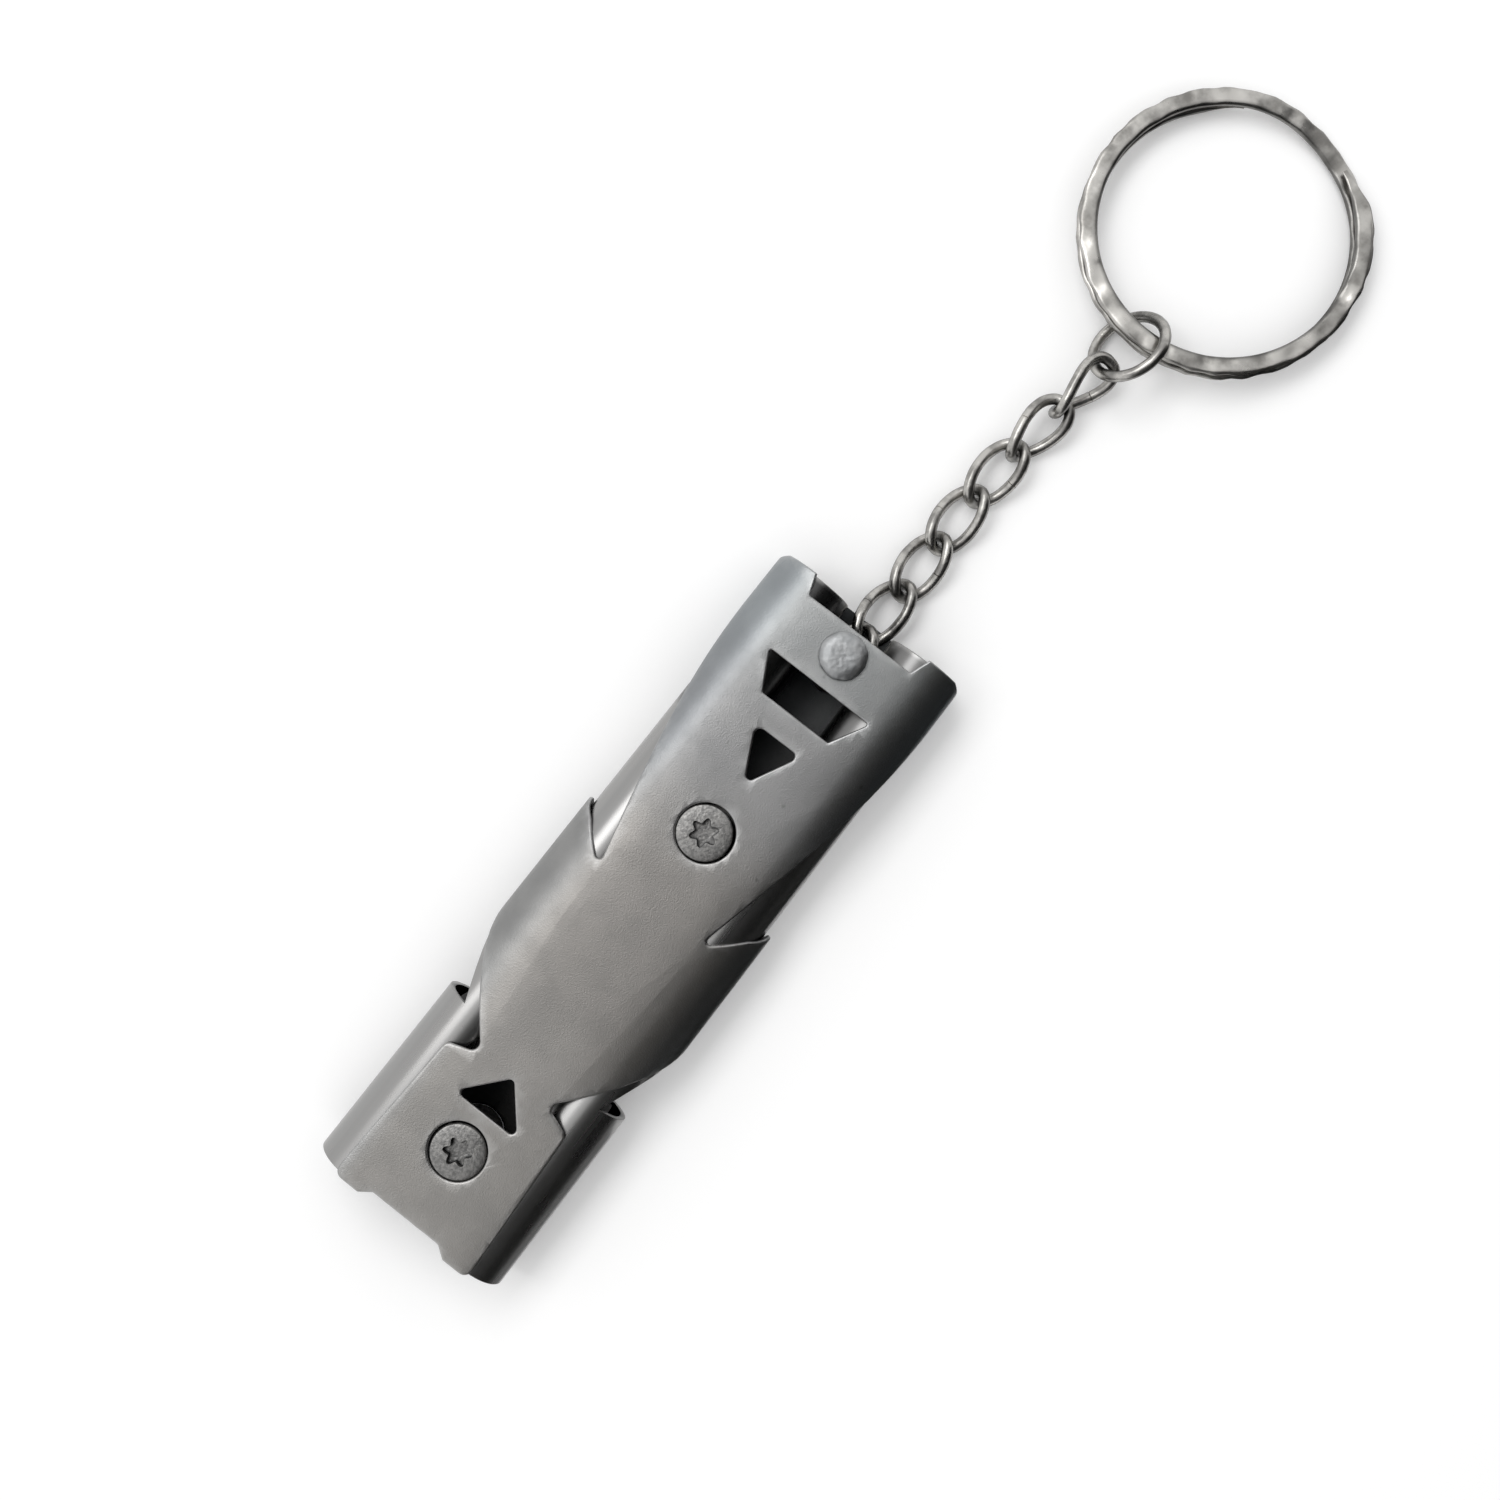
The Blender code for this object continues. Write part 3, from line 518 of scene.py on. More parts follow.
def hole(s, diameter, steps=56):
    """A hole in the front plate that is round once the sheet is folded."""
    wide = FLAT_HALF / axis_x(s)
    turns = [2 * math.pi * (i + 0.5) / steps for i in range(steps)]
    return [(diameter / 2 * wide * math.cos(a), s + diameter / 2 * math.sin(a)) for a in turns]


SCREW_HEAD, SCREW_FIT, POST_HOLE, FOOT_HOLE = 4.9, 0.12, 1.94, 3.24
front_holes = [hole(s, SCREW_HEAD + 2 * SCREW_FIT) for s in SCREW_S] + [hole(RIVET_S, POST_HOLE, 32)]
back_holes = [(s, SCREW_HEAD + 2 * SCREW_FIT) for s in SCREW_S] + [(RIVET_S, FOOT_HOLE)]
print("outline points:", len(outer_outline), "side notch points:", len(notch_right))

# %% [markdown]
# ### Fill, ring and grid
# The back plate's holes lie on the pattern's two ends, where the folded sheet closes on itself.
# They are cut from the outline there. The fill operator makes the plate, three thin insets ring
# every cut edge, and then straight bisections lay a grid over it, so that it can bend.

# %% Build the flat plate


def on_back_line(x):
    return abs(abs(x) - BACK_LINE) < 1e-5


def notched_end(outline, steps=28):
    """Cut half-round bites for the back holes into the two ends of the outline."""
    made = []
    for i, point in enumerate(outline):
        made.append(point)
        after = outline[(i + 1) % len(outline)]
        if not (on_back_line(point[0]) and on_back_line(after[0]) and point[0] * after[0] > 0):
            continue
        side, rising = math.copysign(1.0, point[0]), after[1] > point[1]
        for s, diameter in sorted(back_holes, reverse=not rising):
            wide = FLAT_HALF / axis_x(s)
            for k in range(steps + 1):
                a = math.pi * k / steps - math.pi / 2
                a = a if rising else -a
                made.append((side * (BACK_LINE - diameter / 2 * wide * math.cos(a)),
                             s + diameter / 2 * math.sin(a)))
    return made


notch_left = [(-x, y) for x, y in notch_right]
loops = [notched_end(outer_outline), notch_right, notch_left, slot, down, up] + front_holes
plate = bmesh.new()
for loop in loops:
    corners = [plate.verts.new((x, y, 0.0)) for x, y in loop]
    for a, b in zip(corners, corners[1:] + corners[:1]):
        plate.edges.new((a, b))
bmesh.ops.triangle_fill(plate, use_beauty=True, edges=plate.edges)
bmesh.ops.recalc_face_normals(plate, faces=plate.faces)
rims = [(e.verts[0].co.xy.copy(), e.verts[1].co.xy.copy()) for e in plate.edges if e.is_boundary
        and not all(on_back_line(v.co.x) for v in e.verts)]
inner = plate.faces[:]
for width in (0.03, 0.06, 0.10):
    bmesh.ops.inset_region(plate, faces=inner, use_boundary=True, use_even_offset=True, thickness=width)
print("plate faces:", len(plate.faces), "rim segments:", len(rims))

# %% Lay a grid over the plate
BENDS, PLATE_STRIPS, ROWS, ROW_STEP = 24, 7, 54, 1.2
columns = [FLAT_HALF + k * (WRAP / BENDS) for k in range(BENDS + 1)]
columns += [FLAT_HALF * k / PLATE_STRIPS for k in range(PLATE_STRIPS)]
columns += [FLAT_HALF + WRAP + FLAT_HALF * k / PLATE_STRIPS for k in range(1, PLATE_STRIPS)]
for x in sorted({round(side * c, 6) for c in columns for side in (-1, 1)}):
    slice_through(plate, (x, 0, 0), (1, 0, 0))
for row in range(1, ROWS):
    slice_through(plate, (0, row * ROW_STEP, 0), (0, 1, 0))
bmesh.ops.dissolve_degenerate(plate, dist=1e-4, edges=plate.edges)
print("grid faces:", len(plate.faces))

# %% [markdown]
# ### Round the edges, thicken and fold
# A punched and tumbled sheet has soft rims, so each point is lowered by a quarter circle as it
# nears a cut. The sheet is extruded downwards to its thickness, then every point is carried
# round the tubes. Folding pulls a plate's sides in, most round the middle sleeve, and a little
# noise does the rest. The lining's inner face gets painted shade, darkest on the side of the
# main lamp, where the plate above keeps the light off.

# %% Thicken and fold


def distance_to_rims(points):
    """Least distance of each point to the cut edges, in the flat pattern."""
    a = np.array([tuple(p) for p, q in rims])
    b = np.array([tuple(q) for p, q in rims])
    span = b - a
    length = np.maximum((span ** 2).sum(1), 1e-12)
    nearest = np.empty(len(points))
    for start in range(0, len(points), 2000):
        block = points[start:start + 2000, None, :]
        t = np.clip(((block - a) * span).sum(2) / length, 0, 1)
        nearest[start:start + 2000] = np.sqrt(((block - a - t[..., None] * span) ** 2).sum(2)).min(1)
    return nearest


def smooth(value, low, high):
    """0 below low, 1 above high, and an even S curve between."""
    share = min(1.0, max(0.0, (value - low) / (high - low)))
    return share * share * (3 - 2 * share)


CROWN, SIDE_DROP, CROWN_POWER, WAVE = 0.22, 0.05, 5, 0.015


def sag(x, s):
    """How far the sheet lies inside its true face: a crown where it is folded, and slow waves."""
    wave = noise.noise(Vector((x * 0.16, s * 0.11, 3.7)))
    wave += 0.5 * noise.noise(Vector((x * 0.45, s * 0.33, 9.1)))
    run = min(abs(x), BACK_LINE - abs(x))
    if run <= FLAT_HALF:
        drop = CROWN * (run / FLAT_HALF) ** CROWN_POWER
    else:
        t, slope = (run - FLAT_HALF) / (WRAP / 2), CROWN_POWER * CROWN / FLAT_HALF * (WRAP / 2)
        drop = (2 * t - 3) * t * t * (CROWN - SIDE_DROP) + CROWN + t * (1 - t) ** 2 * slope
    # A quarter of the crown at the mouth end, all of it round the middle sleeve, half beyond.
    share = 0.25 + 0.75 * smooth(s, 13.0, 20.0) - 0.45 * smooth(s, 36.0, 43.0)
    return -drop * share - WAVE * (1.0 + max(-1.0, min(1.0, wave)))


def fold(x, s, depth):
    """Carry a point of the flat pattern round the tubes."""
    side, run, flat = math.copysign(1.0, x), abs(x), axis_x(s)
    radius = max(SIDE_R + depth + sag(x, s), PIPE_R + 0.03)
    if run <= FLAT_HALF:
        out, up = run * flat / FLAT_HALF, radius
    elif run >= FLAT_HALF + WRAP:
        out, up = (BACK_LINE - run) * flat / FLAT_HALF, -radius
    else:
        angle = (run - FLAT_HALF) / SIDE_R
        out, up = flat + radius * math.sin(angle), radius * math.cos(angle)
    return Vector((side * out, s - ORIGIN_S, MID_Z + up))


EDGE_ROUND, WEAR_AND_SHEEN_REACH = 0.19, 0.22
near = distance_to_rims(np.array([tuple(v.co.xy) for v in plate.verts]))
rim_layer = plate.verts.layers.float.new("rim")
drop_layer = plate.verts.layers.float.new("drop")
inside_layer = plate.verts.layers.float.new("inside")
for v, d in zip(plate.verts, near):
    # rim drives edge wear and the painted highlight line along the cut edges.
    v[rim_layer] = math.exp(-d / WEAR_AND_SHEEN_REACH)
    v[drop_layer] = EDGE_ROUND - math.sqrt(EDGE_ROUND ** 2 - max(0.0, EDGE_ROUND - d) ** 2)
made = bmesh.ops.extrude_face_region(plate, geom=plate.faces[:])
under = {v for v in made["geom"] if isinstance(v, bmesh.types.BMVert)}
seam = [f for f in plate.faces if all(abs(abs(v.co.x) - BACK_LINE) < 1e-4 for v in f.verts)]
bmesh.ops.delete(plate, geom=seam, context="FACES_ONLY")
for v in plate.verts:
    depth = -SHEET + 0.6 * v[drop_layer] if v in under else -v[drop_layer]
    v.co = fold(v.co.x, v.co.y, depth)
    # Painted shade on the lining, darker on the main lamp's side.
    v[inside_layer] = 0.98 - 0.15 * smooth(v.co.x, -1.0, 1.8) if v in under else 0.0
bmesh.ops.remove_doubles(plate, verts=plate.verts, dist=2e-3)
print("open edges after folding:", sum(1 for e in plate.edges if not e.is_manifold))
finish("jacket", plate, JACKET_STEEL, "shell", sharp=50.0)

# %% [markdown]
# ## The two tubes
# Each tube is a thin ring spun round its bore, with softened ends. The whistle's voice comes
# from a wedge cut into its outer side: air from the plug strikes the sharp lip at the end of
# the slope. A prism with that slope is cut away. The bore and the stretch behind the slot get
# painted shade.

# %% Tubes
WINDOW_S, WINDOW_DEPTH, WINDOW_LENGTH = 18.0, 2.3, 5.4


def pipe_place(side):
    """From a tube's own frame, Z along its bore and X outwards, to the whistle."""
    lean = Matrix.Rotation(side * SPLAY, 4, "Z") @ turn_about("X", -90)
    start = Matrix.Translation((side * axis_x(0.0), -ORIGIN_S, MID_Z))
    return start @ lean @ turn_about("Z", 180 if side < 0 else 0)


def softened(inner, outer, low, high, soft):
    """Section of a tube wall whose four corners are cut back."""
    return [(inner + soft, low), (outer - soft, low), (outer, low + soft), (outer, high - soft),
            (outer - soft, high), (inner + soft, high), (inner, high - soft), (inner, low + soft)]


BORE_R, BORE_SHADE, SLOT_SHADE = PIPE_R - PIPE_WALL, 0.92, {-1: 0.72, 1: 0.42}
SHADE_CUTS = (49.0, 50.0, 64.4)
for side, label in ((-1, "left"), (1, "right")):
    tube = revolve(softened(BORE_R, PIPE_R, PIPE_INSET, BODY_LENGTH - PIPE_INSET, 0.07), 112)
    slope_end = WINDOW_S + WINDOW_LENGTH * (1 + 1.0 / WINDOW_DEPTH)
    wedge = prism([(PIPE_R - WINDOW_DEPTH, WINDOW_S), (PIPE_R + 1.0, WINDOW_S), (PIPE_R + 1.0, slope_end)],
                  -PIPE_R - 1, PIPE_R + 1)
    move(wedge, turn_about("X", 90))
    tube = carve(tube, [wedge])
    for s in SHADE_CUTS:
        slice_through(tube, (0, 0, s), (0, 0, 1), dist=1e-5)
    # Painted shade in the bore and on the stretch behind the slot.
    inside = tube.verts.layers.float.new("inside")
    for v in tube.verts:
        bore = v.co.xy.length < BORE_R + 0.03 and 0.5 < v.co.z < BODY_LENGTH - 0.5
        shaded = SLOT_SHADE[side] if SHADE_CUTS[0] + 0.5 < v.co.z < SHADE_CUTS[-1] + 0.2 else 0.0
        v[inside] = BORE_SHADE if bore else shaded
    move(tube, pipe_place(side))
    finish(f"{label}_tube", tube, TUBE_STEEL, f"{label}_pipe", bevel=0.05)

# %% [markdown]
# ### Plugs and stoppers
# The fipple plug fills the mouth end of each tube but for a flat on its outer side, the slit
# that the breath goes through. A round stopper closes the other end; the two lie at
# different depths, so the tubes sound two notes.

# %% Plugs and stoppers
PLUG_R, WINDWAY, STOPPER_LENGTH, STOPPER_DEPTH = BORE_R - 0.12, 1.0, 2.0, {-1: 2.6, 1: 9.5}


def rod(radius, low, high, soft):
    """A solid round bar with softened ends."""
    return revolve([(0, low), (radius - soft, low), (radius, low + soft), (radius, high - soft),
                    (radius - soft, high), (0, high)], 64)


low, high, flat = PIPE_INSET + 0.4, WINDOW_S - 0.2, BORE_R - WINDWAY
slit = [(flat, low - 1), (PIPE_R, low - 1), (PIPE_R, high + 1), (flat, high + 1)]
for side, label in ((-1, "left"), (1, "right")):
    air = prism(slit, -PIPE_R, PIPE_R)
    move(air, turn_about("X", 90))
    plug = carve(rod(PLUG_R, low, high, 0.12), [air])
    move(plug, pipe_place(side))
    # Plugs and stoppers take the steel painted dark as shade.
    finish(f"{label}_plug", plug, CORE_SHADE_STEEL, f"{label}_fipple_plug", bevel=0.04)
    top = BODY_LENGTH - PIPE_INSET - STOPPER_DEPTH[side]
    disc = rod(PLUG_R, top - STOPPER_LENGTH, top, 0.15)
    move(disc, pipe_place(side))
    finish(f"{label}_stopper", disc, CORE_SHADE_STEEL, f"{label}_end_stopper")

# %% [markdown]
# ## Screws and pillars
# Four flat screws sit just below the plates' faces, so a thin dark ring shows round each head.
# The head is turned, then a six-lobed driver socket is pressed in. Each screw stops at its own
# angle and sits a hair off the middle of its hole, which makes the dark rings uneven.

# %% Screws
HEAD_R, HEAD_HEIGHT, HEAD_RIM, SHANK_R, SHANK_LENGTH, HEAD_SUNK = 2.45, 1.45, 0.35, 1.2, 1.9, 0.03
STAR_TIP, STAR_HOLLOW, STAR_DEPTH, STAR_STEP = 1.30, 0.84, 0.70, 0.08


def socket(steps=72):
    """A round outline that swells and shrinks six times, pressed in, with a small deeper floor."""
    middle, swell = (STAR_TIP + STAR_HOLLOW) / 2, (STAR_TIP - STAR_HOLLOW) / 2
    turns = [2 * math.pi * i / steps for i in range(steps)]
    radii = [middle + swell * math.cos(6 * a) for a in turns]
    bm = prism([(r * math.cos(a), r * math.sin(a)) for r, a in zip(radii, turns)], -STAR_DEPTH, 1.0)
    floor = min(bm.faces, key=lambda f: f.calc_center_median().z)
    bmesh.ops.inset_individual(bm, faces=[floor], thickness=0.24)
    bmesh.ops.translate(bm, verts=floor.verts[:], vec=(0, 0, -STAR_STEP))
    return bm


def socket_shade(place):
    """Painted shade: dark on the socket's walls, lighter on its floor, and none on the rest of the screw.
    """
    if place.z > -0.02 or place.xy.length > STAR_TIP + 0.15:
        return 0.0
    return 0.15 if place.z < -STAR_DEPTH - 0.03 else 1.0


def build_screw(level, s, front, turn, shift):
    shank_end = -HEAD_HEIGHT - SHANK_LENGTH
    profile = [(0, 0), (HEAD_R - 0.28, 0), (HEAD_R - 0.1, -0.05), (HEAD_R, -0.18),
               (HEAD_R, -HEAD_RIM), (SHANK_R, -HEAD_HEIGHT), (SHANK_R, shank_end + 0.2),
               (SHANK_R - 0.2, shank_end), (0, shank_end)]
    screw = carve(revolve(profile, 72), [socket()])
    # Painted shade in the driver socket.
    inside = screw.verts.layers.float.new("inside")
    for v in screw.verts:
        v[inside] = socket_shade(v.co)
    side, face, flip = "back", FLOOR_GAP + HEAD_SUNK, Matrix.Rotation(math.pi, 4, "Y")
    if front:
        side, face, flip = "front", THICKNESS - FLOOR_GAP - HEAD_SUNK, Matrix.Identity(4)
    spot = Matrix.Translation((shift[0], s - ORIGIN_S + shift[1], face))
    move(screw, spot @ flip @ turn_about("Z", turn))
    finish(f"{level}_{side}_screw_head", screw, SCREW_STEEL, f"{level}_{side}_screw", bevel=0.045)


UPPER_S, LOWER_S = SCREW_S
build_screw("upper", UPPER_S, True, 49, (-0.085, -0.065))
build_screw("upper", UPPER_S, False, 41, (0.02, 0.03))
build_screw("lower", LOWER_S, True, 25, (0.04, -0.06))
build_screw("lower", LOWER_S, False, 3, (-0.03, 0.0))

# %% Pillars
PILLAR_R, PILLAR_BORE, PILLAR_SHADE = 2.1, 1.32, 0.85
pillar_half = THICKNESS / 2 - FLOOR_GAP - HEAD_HEIGHT - SCREW_FIT
for level, s in zip(("upper", "lower"), SCREW_S):
    pillar = revolve(softened(PILLAR_BORE, PILLAR_R, -pillar_half, pillar_half, 0.2), 64,
                     Matrix.Translation((0, s - ORIGIN_S, MID_Z)))
    # The pillars, seen only through the windows, get painted shade all over.
    inside = pillar.verts.layers.float.new("inside")
    for v in pillar.verts:
        v[inside] = PILLAR_SHADE
    finish(f"{level}_pillar", pillar, CORE_SHADE_STEEL, f"{level}_spacer")

# %% [markdown]
# ## The rivet
# The rivet's front head was hammered to a dome by hand, so it is lumpy and its rim isn't quite
# round. A spun dome is pushed inwards by noise.

# %% Rivet
RIVET_POST, RIVET_FOOT, RIVET_HEAD_R, RIVET_DOME, DOME_STEPS, LUMP = 0.85, 1.5, 2.125, 0.8, 26, 0.05
seat = THICKNESS + 0.12
profile = [(0, FLOOR_GAP), (RIVET_FOOT - 0.08, FLOOR_GAP), (RIVET_FOOT, FLOOR_GAP + 0.08),
           (RIVET_FOOT, SHEET), (RIVET_POST, SHEET + RIVET_FOOT - RIVET_POST), (RIVET_POST, seat),
           (RIVET_HEAD_R - 0.12, seat)]
for i in range(DOME_STEPS + 1):
    angle = math.radians(90.0 * i / DOME_STEPS)
    flattened = RIVET_DOME * (math.sin(angle) - 0.22 * math.sin(angle) ** 6)
    profile.append((RIVET_HEAD_R * math.cos(angle) if i < DOME_STEPS else 0.0, seat + 0.1 + flattened))
rivet = revolve(profile, 96, Matrix.Translation((0, RIVET_S - ORIGIN_S, 0)))
middle = Vector((0, RIVET_S - ORIGIN_S, seat))
for v in rivet.verts:
    if v.co.z > seat + 0.05:
        lump = noise.noise(v.co * 1.1) + 0.7 * noise.noise(v.co * 2.6)
        v.co += (middle - v.co).normalized() * LUMP * max(0.0, 1.0 + lump)
finish("rivet_head", rivet, RIVET_STEEL, "rivet", sharp=50.0)

# %% [markdown]
# ## Where each link lies
# Every chain link has a heading, a roll and a height at each end. From these follow the links'
# places: each one starts where the one before it ends. The same values placed the solids, and
# the test below the plan compares the two.

# %% The chain's plan
WIRE, LINK_LENGTH, LINK_WIDTH, LINK_TWIST, LINK_GAP, JUMP_RING_OD = 1.0, 7.4, 4.35, 45.0, 0.18, 7.5
CHAIN_YAW = (4.0, 2.5, -1.2, 0.3, 4.2, 8.6, 10.6, 10.4)
CHAIN_ROLL = (0.0, 0.0, 0.0, 0.0, -8.0, -32.0, -60.0, 42.0)
CHAIN_HEIGHT = (2.05, 1.95, 1.40, 1.32, 1.40, 1.72, 2.10, 2.50, 2.90)
CONTACT = (WIRE + LINK_GAP) / 2
JUMP_R = (JUMP_RING_OD - WIRE) / 2
CHAIN_START_S, LINKS = 61.25, 7


def turned(yaw, pitch, roll):
    """Rotation of a link: Y along its length, roll lifting its right side."""
    return turn_about("Z", -yaw, 3) @ turn_about("X", pitch, 3) @ turn_about("Y", -roll, 3)


def chain_plan():
    """Middle, rotation and half length of each link."""
    plan, start = [], None
    reach = [(LINK_LENGTH - WIRE) / 2 - CONTACT] * LINKS + [JUMP_R - CONTACT]
    for k, (yaw, roll) in enumerate(zip(CHAIN_YAW, CHAIN_ROLL)):
        pitch = math.degrees(math.asin((CHAIN_HEIGHT[k + 1] - CHAIN_HEIGHT[k]) / (2 * reach[k])))
        turn = turned(yaw, pitch, roll)
        along = turn @ Vector((0, 1, 0))
        if start is None:
            start = Vector((0.0, CHAIN_START_S - ORIGIN_S, sum(CHAIN_HEIGHT[:2]) / 2)) - along * reach[k]
        middle, end = start + along * reach[k], start + along * 2 * reach[k]
        plan.append({"middle": middle, "turn": turn, "along": along, "half": reach[k] + CONTACT})
        start = end
    return plan


plan = chain_plan()
for k, link in enumerate(plan):
    low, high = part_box(f"chain_link_{k + 1}" if k < LINKS else "jump_ring")
    off = ((low + high) / 2 / MM - link["middle"]).length
    print(f"link {k + 1} lies {off:.3f} mm from its solid's middle")

# %% [markdown]
# ## The links
# A curb link is a loop of wire that is given a twist, so that the links lie flat side by side.
# A closed curve with a round bevel is that wire. Each link also gets the fine butt seam where
# its two wire ends meet, and painted shade inside its two bends, where the next link rubs.

# %% Build the links


def loop_points(half, side, square, twist, count):
    """Centre line of a link: a squared ellipse whose plane turns along its length."""
    points = []
    for i in range(count):
        angle = 2 * math.pi * (i + 0.5) / count
        radius = abs(math.cos(angle) / side) ** square + abs(math.sin(angle) / half) ** square
        radius **= -1 / square
        v, u = radius * math.cos(angle), radius * math.sin(angle)
        lean = math.radians(twist) * u / half
        points.append(Vector((v * math.cos(lean), u, v * math.sin(lean))))
    return points


def wire_loop(points, radius):
    """A round wire along a closed line of points, made by a curve's own bevel."""
    curve = bpy.data.curves.new("wire", "CURVE")
    curve.dimensions, curve.bevel_depth, curve.bevel_resolution = "3D", radius, 5
    spline = curve.splines.new("POLY")
    spline.points.add(len(points) - 1)
    for knot, point in zip(spline.points, points):
        knot.co = (*point, 1.0)
    spline.use_cyclic_u = True
    holder = bpy.data.objects.new("wire", curve)
    mesh = bpy.data.meshes.new_from_object(holder)
    bpy.data.objects.remove(holder)
    bm = bmesh.new()
    bm.from_mesh(mesh)
    bmesh.ops.remove_doubles(bm, verts=bm.verts, dist=1e-5)
    return bm


SEAM_REACH, SEAM_DEPTH, BEND_SHADE, WIRE_DENT = 0.7, 0.16, 0.9, 0.012


def build_wire_ring(name, node, link, side, square, twist, seam_at):
    """A closed ring of wire with a butt seam, at its place in the chain."""
    points = loop_points(link["half"], side, square, twist, 120)
    bm = wire_loop(points, WIRE / 2)
    bend_shade = bm.verts.layers.float.new("inside")
    seam_point = points[seam_at]
    seam_along = (points[seam_at + 1] - points[seam_at - 1]).normalized()
    for offset in (-0.09, -0.04, 0.0, 0.04, 0.09):
        close = [f for f in bm.faces if (f.calc_center_median() - seam_point).length < 0.9]
        edges = {e for f in close for e in f.edges}
        verts = {v for f in close for v in f.verts}
        bmesh.ops.bisect_plane(bm, geom=close + list(edges) + list(verts), dist=1e-5,
                               plane_co=seam_point + seam_along * offset, plane_no=seam_along)
    bm.normal_update()
    for v in bm.verts:
        if (v.co - seam_point).length < SEAM_REACH and abs((v.co - seam_point).dot(seam_along)) < 0.02:
            v.co += (seam_point - v.co) * SEAM_DEPTH
        end = max(0.0, abs(v.co.y) / link["half"] - 0.6) / 0.4
        # Painted shade inside the bends, where the next link lies against this one.
        v[bend_shade] = BEND_SHADE * end * max(0.0, min(1.0, 0.45 - v.normal.y * math.copysign(1.0, v.co.y)))
    for v in bm.verts:
        v.co += v.normal * WIRE_DENT * (noise.noise(v.co * 1.3 + link["middle"]) - 0.6)
    move(bm, Matrix.Translation(link["middle"]) @ link["turn"].to_4x4())
    finish(name, bm, LINK_NICKEL, node, body=node, sharp=60.0)


LINK_SQUARE, LINK_SEAMS, RING_SEAM = 2.5, (3, 63), 50
for k, link in enumerate(plan[:-1]):
    build_wire_ring(f"link_{k + 1}", f"chain_link_{k + 1}", link, (LINK_WIDTH - WIRE) / 2, LINK_SQUARE,
                    LINK_TWIST, LINK_SEAMS[k % 2])
build_wire_ring("joining_ring", "jump_ring", plan[-1], plan[-1]["half"], 2.0, 0.0, RING_SEAM)

# %% [markdown]
# ## The hammered split ring
# The key ring is a flat steel band wound twice round itself. Its section is spun about the
# ring's axis in three runs: a flat turn, a short climb over the other turn, and a flat turn
# again. Then the hammer's blows are pushed into it, each at its own size and depth.

# %% Split ring
RING_R, BAND, LEAF, TURN_GAP, CLIMB, RING_YAW, RING_CLEARANCE = 12.9, 1.65, 0.72, 0.45, 26.0, 2.0, 0.85
BAND_ROUND, BAND_CROWN, TURN_STEPS, CLIMB_STEPS = 0.31, 0.2, 150, 20
jump = plan[-1]
near_end = jump["middle"] + jump["along"] * (JUMP_R - WIRE / 2 - RING_CLEARANCE - BAND)
tilt = -math.asin((near_end.z - (2 * LEAF + TURN_GAP) / 2 - FLOOR_GAP) / (2 * RING_R))
ring_turn = turned(RING_YAW, math.degrees(tilt), 0.0)
ring_centre = near_end + ring_turn @ Vector((0, RING_R, 0))
low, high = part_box("split_ring")
off = ((low + high) / 2 / MM - ring_centre).length
print(f"the ring lies {off:.3f} mm from its solid's middle")


def band_section():
    """The band's section as one face: a rectangle whose corners are bevelled round."""
    bm = bmesh.new()
    corners = [bm.verts.new((RING_R - x, 0.0, z)) for x, z in
               ((0, -LEAF / 2), (BAND, -LEAF / 2), (BAND, LEAF / 2), (0, LEAF / 2))]
    bm.faces.new(corners)
    bmesh.ops.bevel(bm, geom=bm.verts[:], offset=BAND_ROUND, affect="VERTICES", segments=4, profile=0.5)
    bmesh.ops.bisect_edges(bm, edges=[e for e in bm.edges if e.calc_length() > 0.2], cuts=5)
    for v in bm.verts:
        v.co.z *= 1 - BAND_CROWN * ((RING_R - BAND / 2 - v.co.x) / (BAND / 2)) ** 2
    return bm


def wind(bm, face, angle, steps, rise):
    """Spin the last section on by an angle, climbing as it goes."""
    made = bmesh.ops.spin(bm, geom=[face], cent=(0, 0, 0), axis=(0, 0, 1), angle=math.radians(angle),
                          steps=steps, dvec=(0, 0, rise / steps))
    return next(g for g in made["geom_last"] if isinstance(g, bmesh.types.BMFace))


ring = band_section()
rise = LEAF + TURN_GAP
bmesh.ops.translate(ring, verts=ring.verts, vec=(0, 0, -rise / 2))
bmesh.ops.rotate(ring, verts=ring.verts, cent=(0, 0, 0), matrix=turn_about("Z", CLIMB, 3))
last = wind(ring, ring.faces[:][0], 360 - 2 * CLIMB, TURN_STEPS, 0.0)
for part in range(CLIMB_STEPS):
    share = [k / CLIMB_STEPS for k in (part, part + 1)]
    climb = [x * x * (3 - 2 * x) * rise for x in share]
    last = wind(ring, last, 2 * CLIMB / CLIMB_STEPS, 1, climb[1] - climb[0])
wind(ring, last, 360 - 2 * CLIMB, TURN_STEPS, 0.0)
walls_within = [f for f in ring.faces if all(len(e.link_faces) > 2 for e in f.edges)]
bmesh.ops.delete(ring, geom=walls_within, context="FACES_ONLY")
print("ring faces:", len(ring.faces), "open edges:", sum(1 for e in ring.edges if len(e.link_faces) != 2))

# %% [markdown]
# ### Hammer blows
# First the band's two ends are drawn to thin, narrow tongues, and the upper one is pressed down
# against the climb. A blow is a shallow round hollow. Blows are strewn at uneven steps over the
# ring's top, outer wall and underside, from a fixed seed, so that they fall the same way each
# time. The ring is then turned until the climb lies where the photograph shows it, and drawn in
# by a trace, to stay inside the solid's straight-sided rim.

